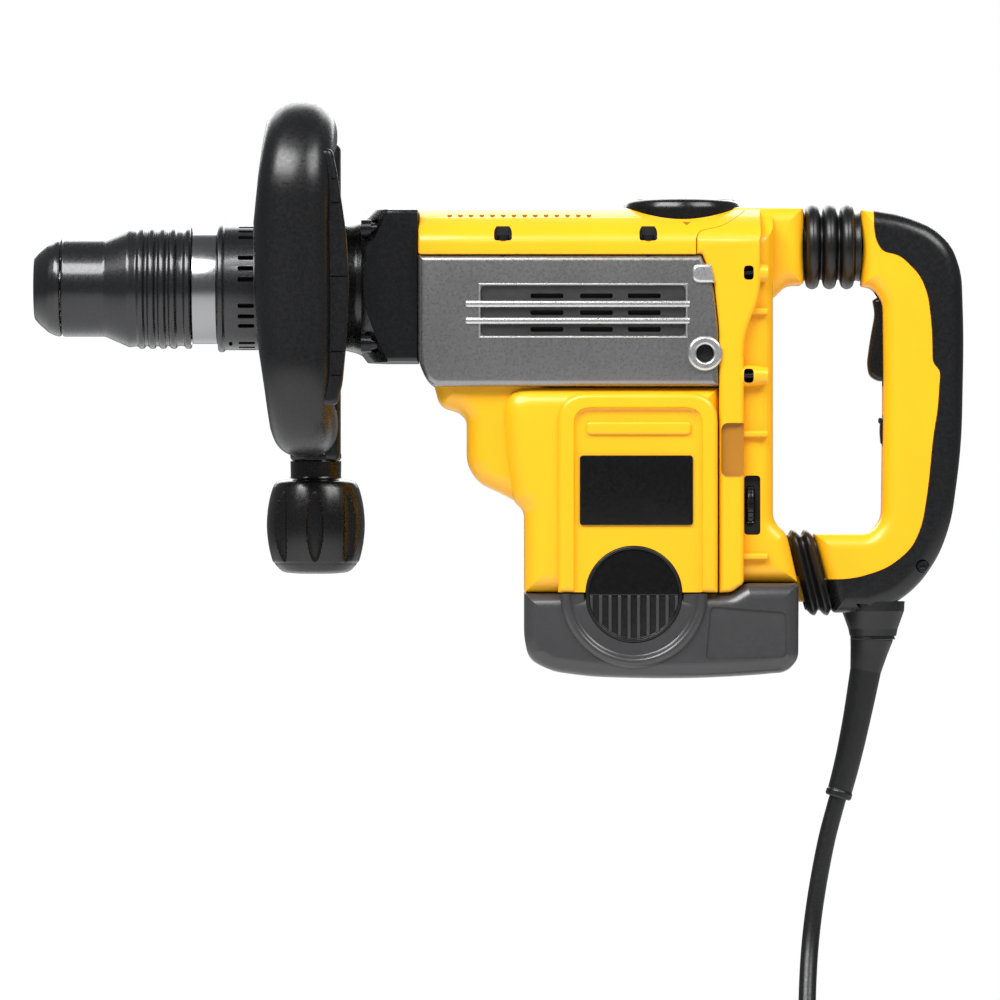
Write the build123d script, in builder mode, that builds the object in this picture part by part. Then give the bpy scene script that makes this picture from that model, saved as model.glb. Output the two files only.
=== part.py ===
from build123d import *
import math
import os

# A held demolition hammer with a D handle behind, a vertical motor below and a turning side handle.
# Millimetres, +Z up. The nose points to -X. The origin is the middle of the rear handle's grip.

# Driving dimensions
AXIS_Z = 65.0  # height of the hammer's bore above the origin
RUN = 0.05  # radial clearance of a shaft that turns or slides in its hole
GAP = 0.3  # air between pieces that move past each other
BODY_HALF = 43.0  # half width of the casings
WALL = 4.0  # casting and moulding wall
SOCKET_R = 9.1  # bore for an 18 mm tool shank
NOSE_X = -453.0  # front of the dust cap
HOLDER_X = -447.0  # mouth of the steel tool holder
SOCKET_LENGTH = 88.0  # depth of the tool bore
FLANGE_X = -290.0  # front of the square flange
CASE_X = -257.0  # front of the gearcase
CASE_TOP = 80.6  # joint between gearcase and top cover
CASE_FLOOR = 13.8  # joint between gearcase and motor housing
COVER_TOP = 105.6  # top of the casings
MOTOR_FLOOR = -90.3  # joint between motor housing and bottom cover
MOTOR_FRONT = -203.5
MOTOR_REAR = -105.0
BASE_Z = -133.6  # underside of the bottom cover
MOTOR_X = -147.9  # the motor's vertical axis
CRANK_X = -186.4  # the crank's vertical axis
CRANK_THROW = 14.0
ROD_LENGTH = 52.0
CYLINDER_R = 17.5  # bore that the piston and the striker run in
PINION_TEETH = 9
WHEEL_TEETH = 61
GEAR_MODULE = 1.1
HANDLE_HALF = 17.0  # half width of the rear handle
BELLOWS_Z = 85.7
PIVOT = (-58.6, -89.0)  # side view place of the rear handle's lower pivot
CLAMP_X = -309.6  # middle of the side handle's clamp band
GRIP_X = -322.0  # middle of the side handle's soft grip
CORD_R = 4.5
COIL_MEAN_R = 54.0
COIL_DEPTH = 27.0
COIL_WIDTH = 36.0
COIL_CENTRE = (-60.0, -389.0)  # side view place of the hanging coil's middle

os.makedirs("parts", exist_ok=True)

TOOL_AXIS = Axis((0, 0, AXIS_Z), (1, 0, 0))
TOOL_PLANE = Plane(origin=(0, 0, AXIS_Z), x_dir=(1, 0, 0), z_dir=(0, -1, 0))


def face_of(points, plane=Plane.XZ):
    """A flat face with straight sides through the points; on the XZ plane they are (x, z)."""
    with BuildSketch(plane) as outline:
        with BuildLine():
            Polyline(*points, close=True)
        make_face()
    return outline.sketch


def turn(points, mode=Mode.ADD):
    """Adds the body turned about the tool axis from (x, radius) points."""
    revolve(face_of(points, TOOL_PLANE), axis=TOOL_AXIS, mode=mode)


def ring(x_low, x_high, outer, inner, mode=Mode.ADD):
    """Adds a plain ring about the tool axis."""
    turn([(x_low, inner), (x_high, inner), (x_high, outer), (x_low, outer)], mode)


def slab(points, half, mode=Mode.ADD):
    """Adds a side view outline made as wide as 2 x half, centred on the middle plane."""
    extrude(face_of(points), amount=half, both=True, mode=mode)


def block(low, high, mode=Mode.ADD):
    """Adds a box between two opposite corners."""
    middle = [(a + b) / 2 for a, b in zip(low, high)]
    size = [abs(b - a) for a, b in zip(low, high)]
    with Locations(tuple(middle)):
        Box(*size, mode=mode)


def bar(start, end, radius, mode=Mode.ADD):
    """Adds a round bar between two points."""
    along = Vector(*end) - Vector(*start)
    with Locations(Plane(origin=start, z_dir=along)):
        Cylinder(radius, along.length, align=(Align.CENTER, Align.CENTER, Align.MIN), mode=mode)


def gear(teeth, centre_x, low, high, first_angle):
    """Adds a spur gear with low, narrow teeth; first_angle turns tooth zero from the +X direction."""
    pitch_r = GEAR_MODULE * teeth / 2
    tip_r = pitch_r + 0.55
    root_r = pitch_r - 0.95
    share = 2 * math.pi / teeth
    points = []
    for tooth in range(teeth):
        middle = math.radians(first_angle) + tooth * share
        for r, part_of_share in ((root_r, -0.24), (tip_r, -0.13), (tip_r, 0.13), (root_r, 0.24)):
            angle = middle + part_of_share * share
            points.append((centre_x + r * math.cos(angle), r * math.sin(angle)))
    extrude(face_of(points, Plane.XY.offset(low)), amount=high - low)


# ---------------------------------------------------------------- tool holder and chuck

with BuildPart() as dust_cap:
    # Rubber lip cap with a sloping front, clipped over the front of the holder.
    turn([(NOSE_X, 11), (NOSE_X, 16.5), (-450.3, 18.6), (-446, 23), (-443, 24.6), (-439.2, 25), (-439.2, 15.3),
          (-447.1, 15.3), (-447.1, 9.9), (-451, 9.9)])
dust_cap.part.label = "dust_cap"
export_step(dust_cap.part, "parts/dust_cap.step")

with BuildPart() as tool_holder:
    # Hardened tube: tool bore in front, a wider chamber for the anvil, a polished neck ring outside.
    bore_end = HOLDER_X + SOCKET_LENGTH
    turn([(HOLDER_X, SOCKET_R), (bore_end, SOCKET_R), (bore_end, 12.6), (-337.5, 12.6), (-337.5, 20.5),
          (-359.6, 20.5), (-359.6, 28.8), (-372.3, 28.8), (-372.3, 15), (HOLDER_X, 15)])
    for side in (-1, 1):
        # Pockets for the two locking rollers.
        block((-416.5, side * 14 - 3.4, AXIS_Z - 3.4), (-399.5, side * 14 + 3.4, AXIS_Z + 3.4), Mode.SUBTRACT)
tool_holder.part.label = "tool_holder"
export_step(tool_holder.part, "parts/tool_holder.step")

with BuildPart() as locking_rollers:
    # Two steel rollers that lock the tool shank; they lie in the holder's side pockets.
    for side in (-1, 1):
        bar((-416, side * 13.9, AXIS_Z), (-400, side * 13.9, AXIS_Z), 3)
locking_rollers.part.label = "locking_rollers"
export_step(locking_rollers.part, "parts/locking_rollers.step")

with BuildPart() as locking_sleeve:
    # Pull-back sleeve: plain nose, flare and a grip with four ring ribs; its back slides over the neck ring.
    turn([(-438.6, 17.4), (-438.6, 24.2), (-437.6, 25), (-416.7, 25), (-404, 30.4), (-376.4, 30.4),
          (-375.4, 31.2), (-372.8, 31.2), (-372.8, 29.1), (-398, 29.1), (-398, 23.5), (-419, 23.5),
          (-419, 20.2), (-421, 20.2), (-421, 17.4)])
    for rib in range(4):
        start = -403.2 + 6.6 * rib
        turn([(start, 30), (start + 1.2, 31.5), (start + 3.6, 31.5), (start + 4.8, 30)])
locking_sleeve.part.label = "locking_sleeve"
export_step(locking_sleeve.part, "parts/locking_sleeve.step")

with BuildPart() as sleeve_spring:
    # Coil spring that pushes the locking sleeve forward; it rests on the holder's neck ring.
    with BuildLine() as spring_line:
        Helix(pitch=8.4, height=43, radius=21, center=(-417.4, 0, AXIS_Z), direction=(1, 0, 0))
    with BuildSketch(Plane(origin=spring_line.line @ 0, z_dir=spring_line.line % 0)):
        Circle(1.1)
    sweep(path=spring_line.line, is_frenet=True)
sleeve_spring.part.label = "sleeve_spring"
export_step(sleeve_spring.part, "parts/sleeve_spring.step")

with BuildPart() as index_collar:
    # Collar that turns the holder to one of its chisel positions, with slots in groups of three.
    turn([(-359.3, 21), (-359.3, 32.4), (-358.3, 33.1), (-356, 33.1), (-356, 32.6), (-338.6, 32.6),
          (-338.6, 21)])
    for group in range(8):
        for slot in (-1, 0, 1):
            angle = math.radians(45 * group + 10 * slot)
            middle_y = 32.6 * math.sin(angle)
            middle_z = AXIS_Z + 32.6 * math.cos(angle)
            with Locations(Location((-345.5, middle_y, middle_z), (-math.degrees(angle), 0, 0))):
                Box(8.6, 2.2, 3, mode=Mode.SUBTRACT)
index_collar.part.label = "index_collar"
export_step(index_collar.part, "parts/index_collar.step")

# ---------------------------------------------------------------- hammer mechanism

with BuildPart() as anvil:
    # Beat piece between striker and tool shank.
    turn([(-358, 0), (-358, 8.7), (-350, 8.7), (-350, 12.3), (-330, 12.3), (-330, 8), (-320, 8), (-320, 0)])
anvil.part.label = "anvil"
export_step(anvil.part, "parts/anvil.step")

with BuildPart() as cylinder_tube:
    # Steel cylinder; its front end is a guide collar for the anvil.
    ring(-334, -214, 21, CYLINDER_R)
    ring(-336, -326, 21, 12.8)
    ring(-262, CASE_X, 25.5, 20.5)
cylinder_tube.part.label = "cylinder_tube"
export_step(cylinder_tube.part, "parts/cylinder_tube.step")

with BuildPart() as striker:
    # Free-flying ram, driven by the air in front of the piston.
    turn([(-316, 0), (-316, 8), (-312, 8), (-309, CYLINDER_R - GAP), (-276, CYLINDER_R - GAP), (-276, 0)])
striker.part.label = "striker"
export_step(striker.part, "parts/striker.step")

PISTON_X = CRANK_X - CRANK_THROW - ROD_LENGTH  # wrist pin at the foremost stroke

with BuildPart() as piston:
    # Hollow piston: closed face, one ring groove, open skirt behind.
    turn([(PISTON_X - 16, 0), (PISTON_X - 16, CYLINDER_R - GAP), (PISTON_X + 12, CYLINDER_R - GAP),
          (PISTON_X + 12, 12.6), (PISTON_X - 8, 12.6), (PISTON_X - 8, 0)])
    ring(PISTON_X - 13, PISTON_X - 10.5, CYLINDER_R, 15.4, Mode.SUBTRACT)
    bar((PISTON_X, -18, AXIS_Z), (PISTON_X, 18, AXIS_Z), 4, Mode.SUBTRACT)
piston.part.label = "piston"
export_step(piston.part, "parts/piston.step")

with BuildPart() as piston_ring:
    ring(PISTON_X - 12.9, PISTON_X - 10.6, CYLINDER_R - 0.1, 15.5)
piston_ring.part.label = "piston_ring"
export_step(piston_ring.part, "parts/piston_ring.step")

with BuildPart() as wrist_pin:
    bar((PISTON_X, -15.5, AXIS_Z), (PISTON_X, 15.5, AXIS_Z), 3.95)
wrist_pin.part.label = "wrist_pin"
export_step(wrist_pin.part, "parts/wrist_pin.step")

with BuildPart() as connecting_rod:
    # Small eye on the wrist pin, big eye over the crank pin.
    bar((PISTON_X, -6, AXIS_Z), (PISTON_X, 6, AXIS_Z), 7.5)
    block((PISTON_X, -5, AXIS_Z - 4), (PISTON_X + ROD_LENGTH, 5, AXIS_Z + 4))
    bar((PISTON_X + ROD_LENGTH, 0, AXIS_Z - 6), (PISTON_X + ROD_LENGTH, 0, AXIS_Z + 6), 9.5)
    bar((PISTON_X, -7, AXIS_Z), (PISTON_X, 7, AXIS_Z), 4.0, Mode.SUBTRACT)
    bar((PISTON_X + ROD_LENGTH, 0, AXIS_Z - 7), (PISTON_X + ROD_LENGTH, 0, AXIS_Z + 7), 5.1, Mode.SUBTRACT)
connecting_rod.part.label = "connecting_rod"
export_step(connecting_rod.part, "parts/connecting_rod.step")

with BuildPart() as crankshaft:
    # Stub shaft, web and crank pin; the pin stops just under the rod's eye.
    bar((CRANK_X, 0, 19), (CRANK_X, 0, 45), 8)
    bar((CRANK_X, 0, 44.5), (CRANK_X, 0, 52), 19.8)
    bar((CRANK_X - CRANK_THROW, 0, 51), (CRANK_X - CRANK_THROW, 0, AXIS_Z - 6.5), 5)
crankshaft.part.label = "crankshaft"
export_step(crankshaft.part, "parts/crankshaft.step")

with BuildPart() as crank_gear:
    # Spur wheel on the crank's stub shaft.
    gear(WHEEL_TEETH, CRANK_X, 34, 42, 180 / WHEEL_TEETH)
    bar((CRANK_X, 0, 33), (CRANK_X, 0, 43), 8, Mode.SUBTRACT)
crank_gear.part.label = "crank_gear"
export_step(crank_gear.part, "parts/crank_gear.step")

# ---------------------------------------------------------------- motor

with BuildPart() as armature_shaft:
    # Motor shaft with its pinion cut on the upper end.
    bar((MOTOR_X, 0, -91), (MOTOR_X, 0, 34), 4)
    gear(PINION_TEETH, MOTOR_X, 33, 43, 180)
armature_shaft.part.label = "armature_shaft"
export_step(armature_shaft.part, "parts/armature_shaft.step")

with BuildPart() as armature_core:
    # Slotted stack of laminations.
    bar((MOTOR_X, 0, -48), (MOTOR_X, 0, -8), 22)
    bar((MOTOR_X, 0, -49), (MOTOR_X, 0, -7), 4, Mode.SUBTRACT)
    for slot in range(12):
        angle = math.radians(30 * slot)
        with Locations(Location((MOTOR_X + 20 * math.cos(angle), 20 * math.sin(angle), -28),
                                (0, 0, 30 * slot))):
            Box(6, 2, 42, mode=Mode.SUBTRACT)
armature_core.part.label = "armature_core"
export_step(armature_core.part, "parts/armature_core.step")

with BuildPart() as commutator:
    bar((MOTOR_X, 0, -79), (MOTOR_X, 0, -60), 13.5)
    bar((MOTOR_X, 0, -80), (MOTOR_X, 0, -59), 4, Mode.SUBTRACT)
commutator.part.label = "commutator"
export_step(commutator.part, "parts/commutator.step")

with BuildPart() as cooling_fan:
    # Backplate with twelve straight blades.
    bar((MOTOR_X, 0, 8), (MOTOR_X, 0, 10), 33)
    bar((MOTOR_X, 0, 2), (MOTOR_X, 0, 9), 9)
    for blade in range(12):
        angle = 30 * blade
        centre = (MOTOR_X + 20 * math.cos(math.radians(angle)), 20 * math.sin(math.radians(angle)), 5.2)
        with Locations(Location(centre, (0, 0, angle + 20))):
            Box(22, 1.4, 6.4)
    bar((MOTOR_X, 0, 1), (MOTOR_X, 0, 11), 4, Mode.SUBTRACT)
cooling_fan.part.label = "cooling_fan"
export_step(cooling_fan.part, "parts/cooling_fan.step")

with BuildPart() as ball_bearings:
    # Crank bearing and the motor's two bearings, as plain rings.
    for centre_x, low, high, outer, inner in ((CRANK_X, 19, 28, 16, 8), (MOTOR_X, 19, 27, 11, 4),
                                              (MOTOR_X, -89.5, -83, 11, 4)):
        bar((centre_x, 0, low), (centre_x, 0, high), outer)
        bar((centre_x, 0, low), (centre_x, 0, high), inner + RUN, Mode.SUBTRACT)
ball_bearings.part.label = "ball_bearings"
export_step(ball_bearings.part, "parts/ball_bearings.step")

with BuildPart() as stator_core:
    # Field lamination stack with two flats.
    bar((MOTOR_X, 0, -50), (MOTOR_X, 0, -8), 37)
    bar((MOTOR_X, 0, -51), (MOTOR_X, 0, -7), 22.6, Mode.SUBTRACT)
stator_core.part.label = "stator_core"
export_step(stator_core.part, "parts/stator_core.step")

with BuildPart() as field_coils:
    # Two saddle windings, seen as half rings above and below the stack.
    for low, high in ((-57, -50), (-8, -2.5)):
        bar((MOTOR_X, 0, low), (MOTOR_X, 0, high), 34)
        bar((MOTOR_X, 0, low), (MOTOR_X, 0, high), 24, Mode.SUBTRACT)
    block((MOTOR_X - 40, -3, -60), (MOTOR_X + 40, 3, 0), Mode.SUBTRACT)
field_coils.part.label = "field_coils"
export_step(field_coils.part, "parts/field_coils.step")

with BuildPart() as brush_holders:
    # Square brass tubes left and right of the commutator.
    for side in (-1, 1):
        block((MOTOR_X - 6.5, side * 15.5, -74), (MOTOR_X + 6.5, side * 34, -64))
        block((MOTOR_X - 5, side * 15.5, -72.5), (MOTOR_X + 5, side * 34, -65.5), Mode.SUBTRACT)
brush_holders.part.label = "brush_holders"
export_step(brush_holders.part, "parts/brush_holders.step")

with BuildPart() as carbon_brushes:
    for side in (-1, 1):
        block((MOTOR_X - 4.8, side * 13.8, -72.3), (MOTOR_X + 4.8, side * 28, -65.7))
carbon_brushes.part.label = "carbon_brushes"
export_step(carbon_brushes.part, "parts/carbon_brushes.step")

# ---------------------------------------------------------------- front housing and gearcase

BOLT_SPREAD = 29.0

with BuildPart() as front_housing:
    # Round neck that flares into a square flange with chamfered front edges.
    block((FLANGE_X, -39.3, AXIS_Z - 39.3), (CASE_X, 39.3, AXIS_Z + 39.3))
    chamfer(edges().group_by(Axis.X)[0], 6)
    fillet(edges().filter_by(Axis.X), 5)
    turn([(-336.5, 21.2), (-336.5, 31), (-296, 31), (-289, 35.5), (-270, 35.5), (-270, 21.2)])
    ring(-337, -262.3, 21.2, 0, Mode.SUBTRACT)
    ring(-262.3, CASE_X, 25.7, 0, Mode.SUBTRACT)
    for side in (-1, 1):
        for level in (-1, 1):
            y = side * BOLT_SPREAD
            z = AXIS_Z + level * BOLT_SPREAD
            bar((FLANGE_X - 1, y, z), (-281, y, z), 5.6, Mode.SUBTRACT)
            bar((FLANGE_X, y, z), (CASE_X, y, z), 3.2, Mode.SUBTRACT)
front_housing.part.label = "front_housing"
export_step(front_housing.part, "parts/front_housing.step")

with BuildPart() as flange_bolts:
    for side in (-1, 1):
        for level in (-1, 1):
            y = side * BOLT_SPREAD
            z = AXIS_Z + level * BOLT_SPREAD
            bar((-286, y, z), (-281, y, z), 4.6)
            bar((-281, y, z), (-245, y, z), 3)
            bar((-287, y, z), (-283.5, y, z), 2.2, Mode.SUBTRACT)
flange_bolts.part.label = "flange_bolts"
export_step(flange_bolts.part, "parts/flange_bolts.step")

GEARCASE_SIDE = [(CASE_X, CASE_TOP), (-113.7, CASE_TOP), (-107.6, 66.3), (MOTOR_REAR, 43.4),
                 (MOTOR_REAR, CASE_FLOOR), (-249, CASE_FLOOR), (CASE_X, 26.5)]

with BuildPart() as gearcase:
    # Light alloy casting: outer box, front plate under the top cover, hollow inside, bearing seats.
    slab(GEARCASE_SIDE, BODY_HALF)
    fillet(edges().filter_by(Axis.Y).group_by(Axis.X)[0], 2)
    block((CASE_X, -35.5, 70), (-248, 35.5, 100))
    block((-252, -38.5, 18.6), (-116, 38.5, 120), Mode.SUBTRACT)
    block((-117, -38.5, 18.6), (-110, 38.5, 60), Mode.SUBTRACT)
    ring(-258, -245, 26, 0, Mode.SUBTRACT)
    bar((CRANK_X, 0, 18), (CRANK_X, 0, 28), 19.5)
    bar((MOTOR_X, 0, 18), (MOTOR_X, 0, 27), 14)
    bar((CRANK_X, 0, 18.6), (CRANK_X, 0, 29), 16, Mode.SUBTRACT)
    bar((MOTOR_X, 0, 18.6), (MOTOR_X, 0, 29), 11, Mode.SUBTRACT)
    bar((MOTOR_X, 0, 10), (MOTOR_X, 0, 19), 5, Mode.SUBTRACT)
    for side in (-1, 1):
        face_y = side * BODY_HALF
        for level in (-1, 1):
            y = side * BOLT_SPREAD
            z = AXIS_Z + level * BOLT_SPREAD
            bar((-258, y, z), (-244, y, z), 3.2, Mode.SUBTRACT)
        # Sunk vent field with nine slots and two raised ribs.
        block((-226, face_y, 39), (-121.5, face_y - side * 1.2, 65), Mode.SUBTRACT)
        for column in (-192, -167.5, -143.5):
            for level in (59.8, 51.2, 42.8):
                block((column - 8, face_y - 6, level - 1.2), (column + 8, face_y + 6, level + 1.2), Mode.SUBTRACT)
        for level in (55.5, 47):
            block((-233, face_y - side * 1.2, level - 1.7), (-120, face_y + side * 1.4, level + 1.7))
        # Ring boss with a deep socket.
        bar((-112.2, face_y - side * 3, 30.6), (-112.2, face_y + side * 1.6, 30.6), 8.8)
        bar((-112.2, face_y - side * 2.5, 30.6), (-112.2, face_y + side * 2, 30.6), 4.5, Mode.SUBTRACT)
        for screw_x in (-214.2, -140.8):
            bar((screw_x, side * 40.4, 74), (screw_x, side * 40.4, CASE_TOP), 1.7, Mode.SUBTRACT)
gearcase.part.label = "gearcase"
export_step(gearcase.part, "parts/gearcase.step")

TOP_COVER_SIDE = [(CASE_X, CASE_TOP), (CASE_X, COVER_TOP), (-89, COVER_TOP), (-93.8, 101.5),
                  (-103, 95.4), (-114.8, 92.8), (-116.8, 89.3), (-116.8, CASE_TOP)]
DIAL_X = -123.2
DIAL_R = 30.0

with BuildPart() as top_cover:
    # Rounded moulded lid over the cylinder, with screw pockets and a round seat for the selector.
    slab(TOP_COVER_SIDE, BODY_HALF)
    fillet(edges().group_by(Axis.Z)[-1].filter_by(Axis.X), 14)
    block((-260, -36, 70), (-121, 36, 100.8), Mode.SUBTRACT)
    bar((DIAL_X, 0, 103.7), (DIAL_X, 0, 115), DIAL_R + 0.4, Mode.SUBTRACT)
    bar((DIAL_X, 0, 90), (DIAL_X, 0, 104), 9.2, Mode.SUBTRACT)
    for side in (-1, 1):
        for screw_x in (-214.2, -140.8):
            block((screw_x - 4.6, side * 36.8, 87.6), (screw_x + 4.6, side * 45, 96), Mode.SUBTRACT)
            bar((screw_x, side * 40.4, 79), (screw_x, side * 40.4, 88), 1.7, Mode.SUBTRACT)
top_cover.part.label = "top_cover"
export_step(top_cover.part, "parts/top_cover.step")

with BuildPart() as top_cover_screws:
    for side in (-1, 1):
        for screw_x in (-214.2, -140.8):
            bar((screw_x, side * 40.4, 87.6), (screw_x, side * 40.4, 90.4), 3)
            bar((screw_x, side * 40.4, 75), (screw_x, side * 40.4, 88), 1.6)
            bar((screw_x, side * 40.4, 89), (screw_x, side * 40.4, 91), 1.4, Mode.SUBTRACT)
top_cover_screws.part.label = "top_cover_screws"
export_step(top_cover_screws.part, "parts/top_cover_screws.step")

with BuildPart() as selector_dial:
    # Round mode and speed selector with a finger bar across it and a stub below.
    bar((DIAL_X, 0, 104), (DIAL_X, 0, 107), DIAL_R)
    fillet(edges().group_by(Axis.Z)[-1], 1)
    block((DIAL_X - 24, -5, 106.5), (DIAL_X + 24, 5, 109.7))
    bar((DIAL_X, 0, 101.5), (DIAL_X, 0, 105), 9)
selector_dial.part.label = "selector_dial"
export_step(selector_dial.part, "parts/selector_dial.step")

# ---------------------------------------------------------------- motor housing and bottom cover

MOTOR_SIDE = [(-249, CASE_FLOOR), (-246.3, 3.6), (-236, 0), (-232.6, -3), (-232.6, -25.5), (-225.9, -35.2),
              (-215.7, -39.8), (-205.5, -45.4), (MOTOR_FRONT, -49), (MOTOR_FRONT, MOTOR_FLOOR),
              (MOTOR_REAR, MOTOR_FLOOR), (MOTOR_REAR, CASE_FLOOR)]
FRONT_VENT_Z = 7.0

with BuildPart() as motor_housing:
    # Moulded motor casing with a bulge in front, a raised side panel and a floor that carries a bearing.
    slab(MOTOR_SIDE, BODY_HALF)
    fillet(edges().filter_by(Axis.Z).filter_by(lambda e: e.center().X < -200 and e.length > 30), 9)
    block((-250, 34, -60), (MOTOR_FRONT, 50, CASE_FLOOR + 1), Mode.SUBTRACT)
    block((-250, -50, -60), (MOTOR_FRONT, -34, CASE_FLOOR + 1), Mode.SUBTRACT)
    bar((MOTOR_X, 0, -83.5), (MOTOR_X, 0, CASE_FLOOR), 38.2, Mode.SUBTRACT)
    block((-229, -30, -22), (-184, 30, CASE_FLOOR), Mode.SUBTRACT)
    bar((MOTOR_X, 0, MOTOR_FLOOR), (MOTOR_X, 0, -80), 11, Mode.SUBTRACT)
    with Locations((MOTOR_X, 0, -87)):
        with PolarLocations(24, 6):
            # Air holes in the floor.
            Cylinder(7, 12, mode=Mode.SUBTRACT)
    for side in (-1, 1):
        # Raised arch panel.
        with BuildSketch(Plane.XZ.offset(-side * (BODY_HALF - 1))):
            with Locations((-147, -41)):
                RectangleRounded(76, 96, 9)
        extrude(amount=-side * 2.6)
        block((-176.5, side * (BODY_HALF + 0.4), -57), (-117.5, side * (BODY_HALF + 2), -20), Mode.SUBTRACT)
motor_housing.part.label = "motor_housing"
export_step(motor_housing.part, "parts/motor_housing.step")

with BuildPart() as name_plates:
    # Plain blank plates, one let into each side panel.
    for side in (-1, 1):
        block((-175.4, side * (BODY_HALF + 0.4), -56.1), (-118.3, side * (BODY_HALF + 1.4), -20.9))
name_plates.part.label = "name_plates"
export_step(name_plates.part, "parts/name_plates.step")

BASE_SIDE = [(MOTOR_FRONT, MOTOR_FLOOR), (MOTOR_REAR, MOTOR_FLOOR), (-98.4, -89.8), (-90.8, -85.3),
             (-64.4, -85.3), (-64.4, -125), (-72, -130.6), (-93, -132.2), (-119, BASE_Z), (-144, BASE_Z),
             (-170, -132.6), (-190, -129.6), (-200, -124), (MOTOR_FRONT, -116)]

with BuildPart() as bottom_cover:
    # Tub that closes the motor housing, with vent slots at both sides under the motor.
    slab(BASE_SIDE, BODY_HALF)
    fillet(edges().filter_by(Axis.Z).filter_by(lambda e: e.length > 20), 8)
    block((-199.5, -BODY_HALF + 3.5, -125), (-106, BODY_HALF - 3.5, -80), Mode.SUBTRACT)
    block((-106.5, -BODY_HALF + 3.5, -125), (-70, BODY_HALF - 3.5, -94), Mode.SUBTRACT)
    for side in (-1, 1):
        for slot in range(9):
            x = MOTOR_X - 20 + 5 * slot
            depth = math.sqrt(24.5 ** 2 - (x - MOTOR_X) ** 2) - 2
            block((x - 1.4, side * 36, -92.5 - depth), (x + 1.4, side * 46, -92.5), Mode.SUBTRACT)
        for screw_x in (-192, -78):
            bar((screw_x, side * 33, -140), (screw_x, side * 33, -120), 3.6, Mode.SUBTRACT)
bottom_cover.part.label = "bottom_cover"
export_step(bottom_cover.part, "parts/bottom_cover.step")

with BuildPart() as bottom_cover_screws:
    for side in (-1, 1):
        for screw_x in (-192, -78):
            bar((screw_x, side * 33, -127), (screw_x, side * 33, -124.4), 3.2)
            bar((screw_x, side * 33, -125), (screw_x, side * 33, -110), 1.7)
            bar((screw_x, side * 33, -128), (screw_x, side * 33, -126), 1.4, Mode.SUBTRACT)
bottom_cover_screws.part.label = "bottom_cover_screws"
export_step(bottom_cover_screws.part, "parts/bottom_cover_screws.step")

# ---------------------------------------------------------------- rear housing

REAR_SIDE = [(-116.8, CASE_TOP), (-116.8, 89.3), (-114.8, 92.8), (-103, 95.4), (-93.8, 101.5), (-89, COVER_TOP),
             (-61.2, COVER_TOP), (-61.2, 65.8), (-70, 65.8), (-77, 59), (-77.3, -55), (-70, -60.7),
             (-64.6, -85.2), (-90.8, -85.2), (-98.4, -89.7), (MOTOR_REAR, MOTOR_FLOOR), (MOTOR_REAR, 43.4),
             (-107.6, 66.3), (-113.7, CASE_TOP)]
WHEEL_AT = (-89.0, -22.5, -46.0)

with BuildPart() as rear_housing:
    # Back of the casing: wide in front, narrower behind, with an arm to the bellows and a pivot lug below.
    slab(REAR_SIDE, BODY_HALF)
    for side in (-1, 1):
        block((-94, side * 34, -84), (-60, side * 50, 110), Mode.SUBTRACT)
        block((-77, side * 20.5, 50), (-60, side * 50, 110), Mode.SUBTRACT)
        block((-78, side * 20.5, -84), (-60, side * 50, -50), Mode.SUBTRACT)
    block((-104, -38, -80), (-97, 38, 90), Mode.SUBTRACT)
    block((-98, -30, -80), (-81, 30, 90), Mode.SUBTRACT)
    bar((DIAL_X, 0, 103.7), (DIAL_X, 0, 115), DIAL_R + 0.4, Mode.SUBTRACT)
    bar((DIAL_X, 0, 90), (DIAL_X, 0, 104), 9.2, Mode.SUBTRACT)
    bar((-81.5, 0, BELLOWS_Z), (-60, 0, BELLOWS_Z), 12.5, Mode.SUBTRACT)
    block((-70, -5, PIVOT[1] - 6), (-58.6, 5, PIVOT[1] + 7))
    bar((PIVOT[0], -5, PIVOT[1]), (PIVOT[0], 5, PIVOT[1]), 6.5)
    bar((PIVOT[0], -12, PIVOT[1]), (PIVOT[0], 12, PIVOT[1]), 3, Mode.SUBTRACT)
    block((-110, -50, -110), (-64.4, 50, -85.3), Mode.SUBTRACT)
    block((-92, -50, -61), (-86, -26, -31), Mode.SUBTRACT)
    bar((-112.2, -50, 30.6), (-112.2, 50, 30.6), 9.1, Mode.SUBTRACT)
    for side in (-1, 1):
        for level in (71.4, 19.4):
            # Tapered screw boss with a clearance groove behind it.
            bar((-100, side * 38.5, level), (-84, side * 38.5, level), 4.4)
            bar((-102, side * 38.5, level), (-82, side * 38.5, level), 1.8, Mode.SUBTRACT)
            bar((-88, side * 38.5, level), (-70, side * 38.5, level), 3.4, Mode.SUBTRACT)
rear_housing.part.label = "rear_housing"
export_step(rear_housing.part, "parts/rear_housing.step")

with BuildPart() as rear_housing_screws:
    for side in (-1, 1):
        for level in (71.4, 19.4):
            bar((-88, side * 38.5, level), (-85, side * 38.5, level), 3)
            bar((-101, side * 38.5, level), (-87, side * 38.5, level), 1.7)
            bar((-86, side * 38.5, level), (-84, side * 38.5, level), 1.4, Mode.SUBTRACT)
rear_housing_screws.part.label = "rear_housing_screws"
export_step(rear_housing_screws.part, "parts/rear_housing_screws.step")

with BuildPart() as control_module:
    # Potted speed control with the axle of the thumb wheel.
    block((-103.5, -7, -40), (-82, 26, 30))
    bar((-97, WHEEL_AT[1], WHEEL_AT[2]), (-83, WHEEL_AT[1], WHEEL_AT[2]), 2)
    block((-103.5, -30, -50), (-96, -4, -38))
control_module.part.label = "control_module"
export_step(control_module.part, "parts/control_module.step")

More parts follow.
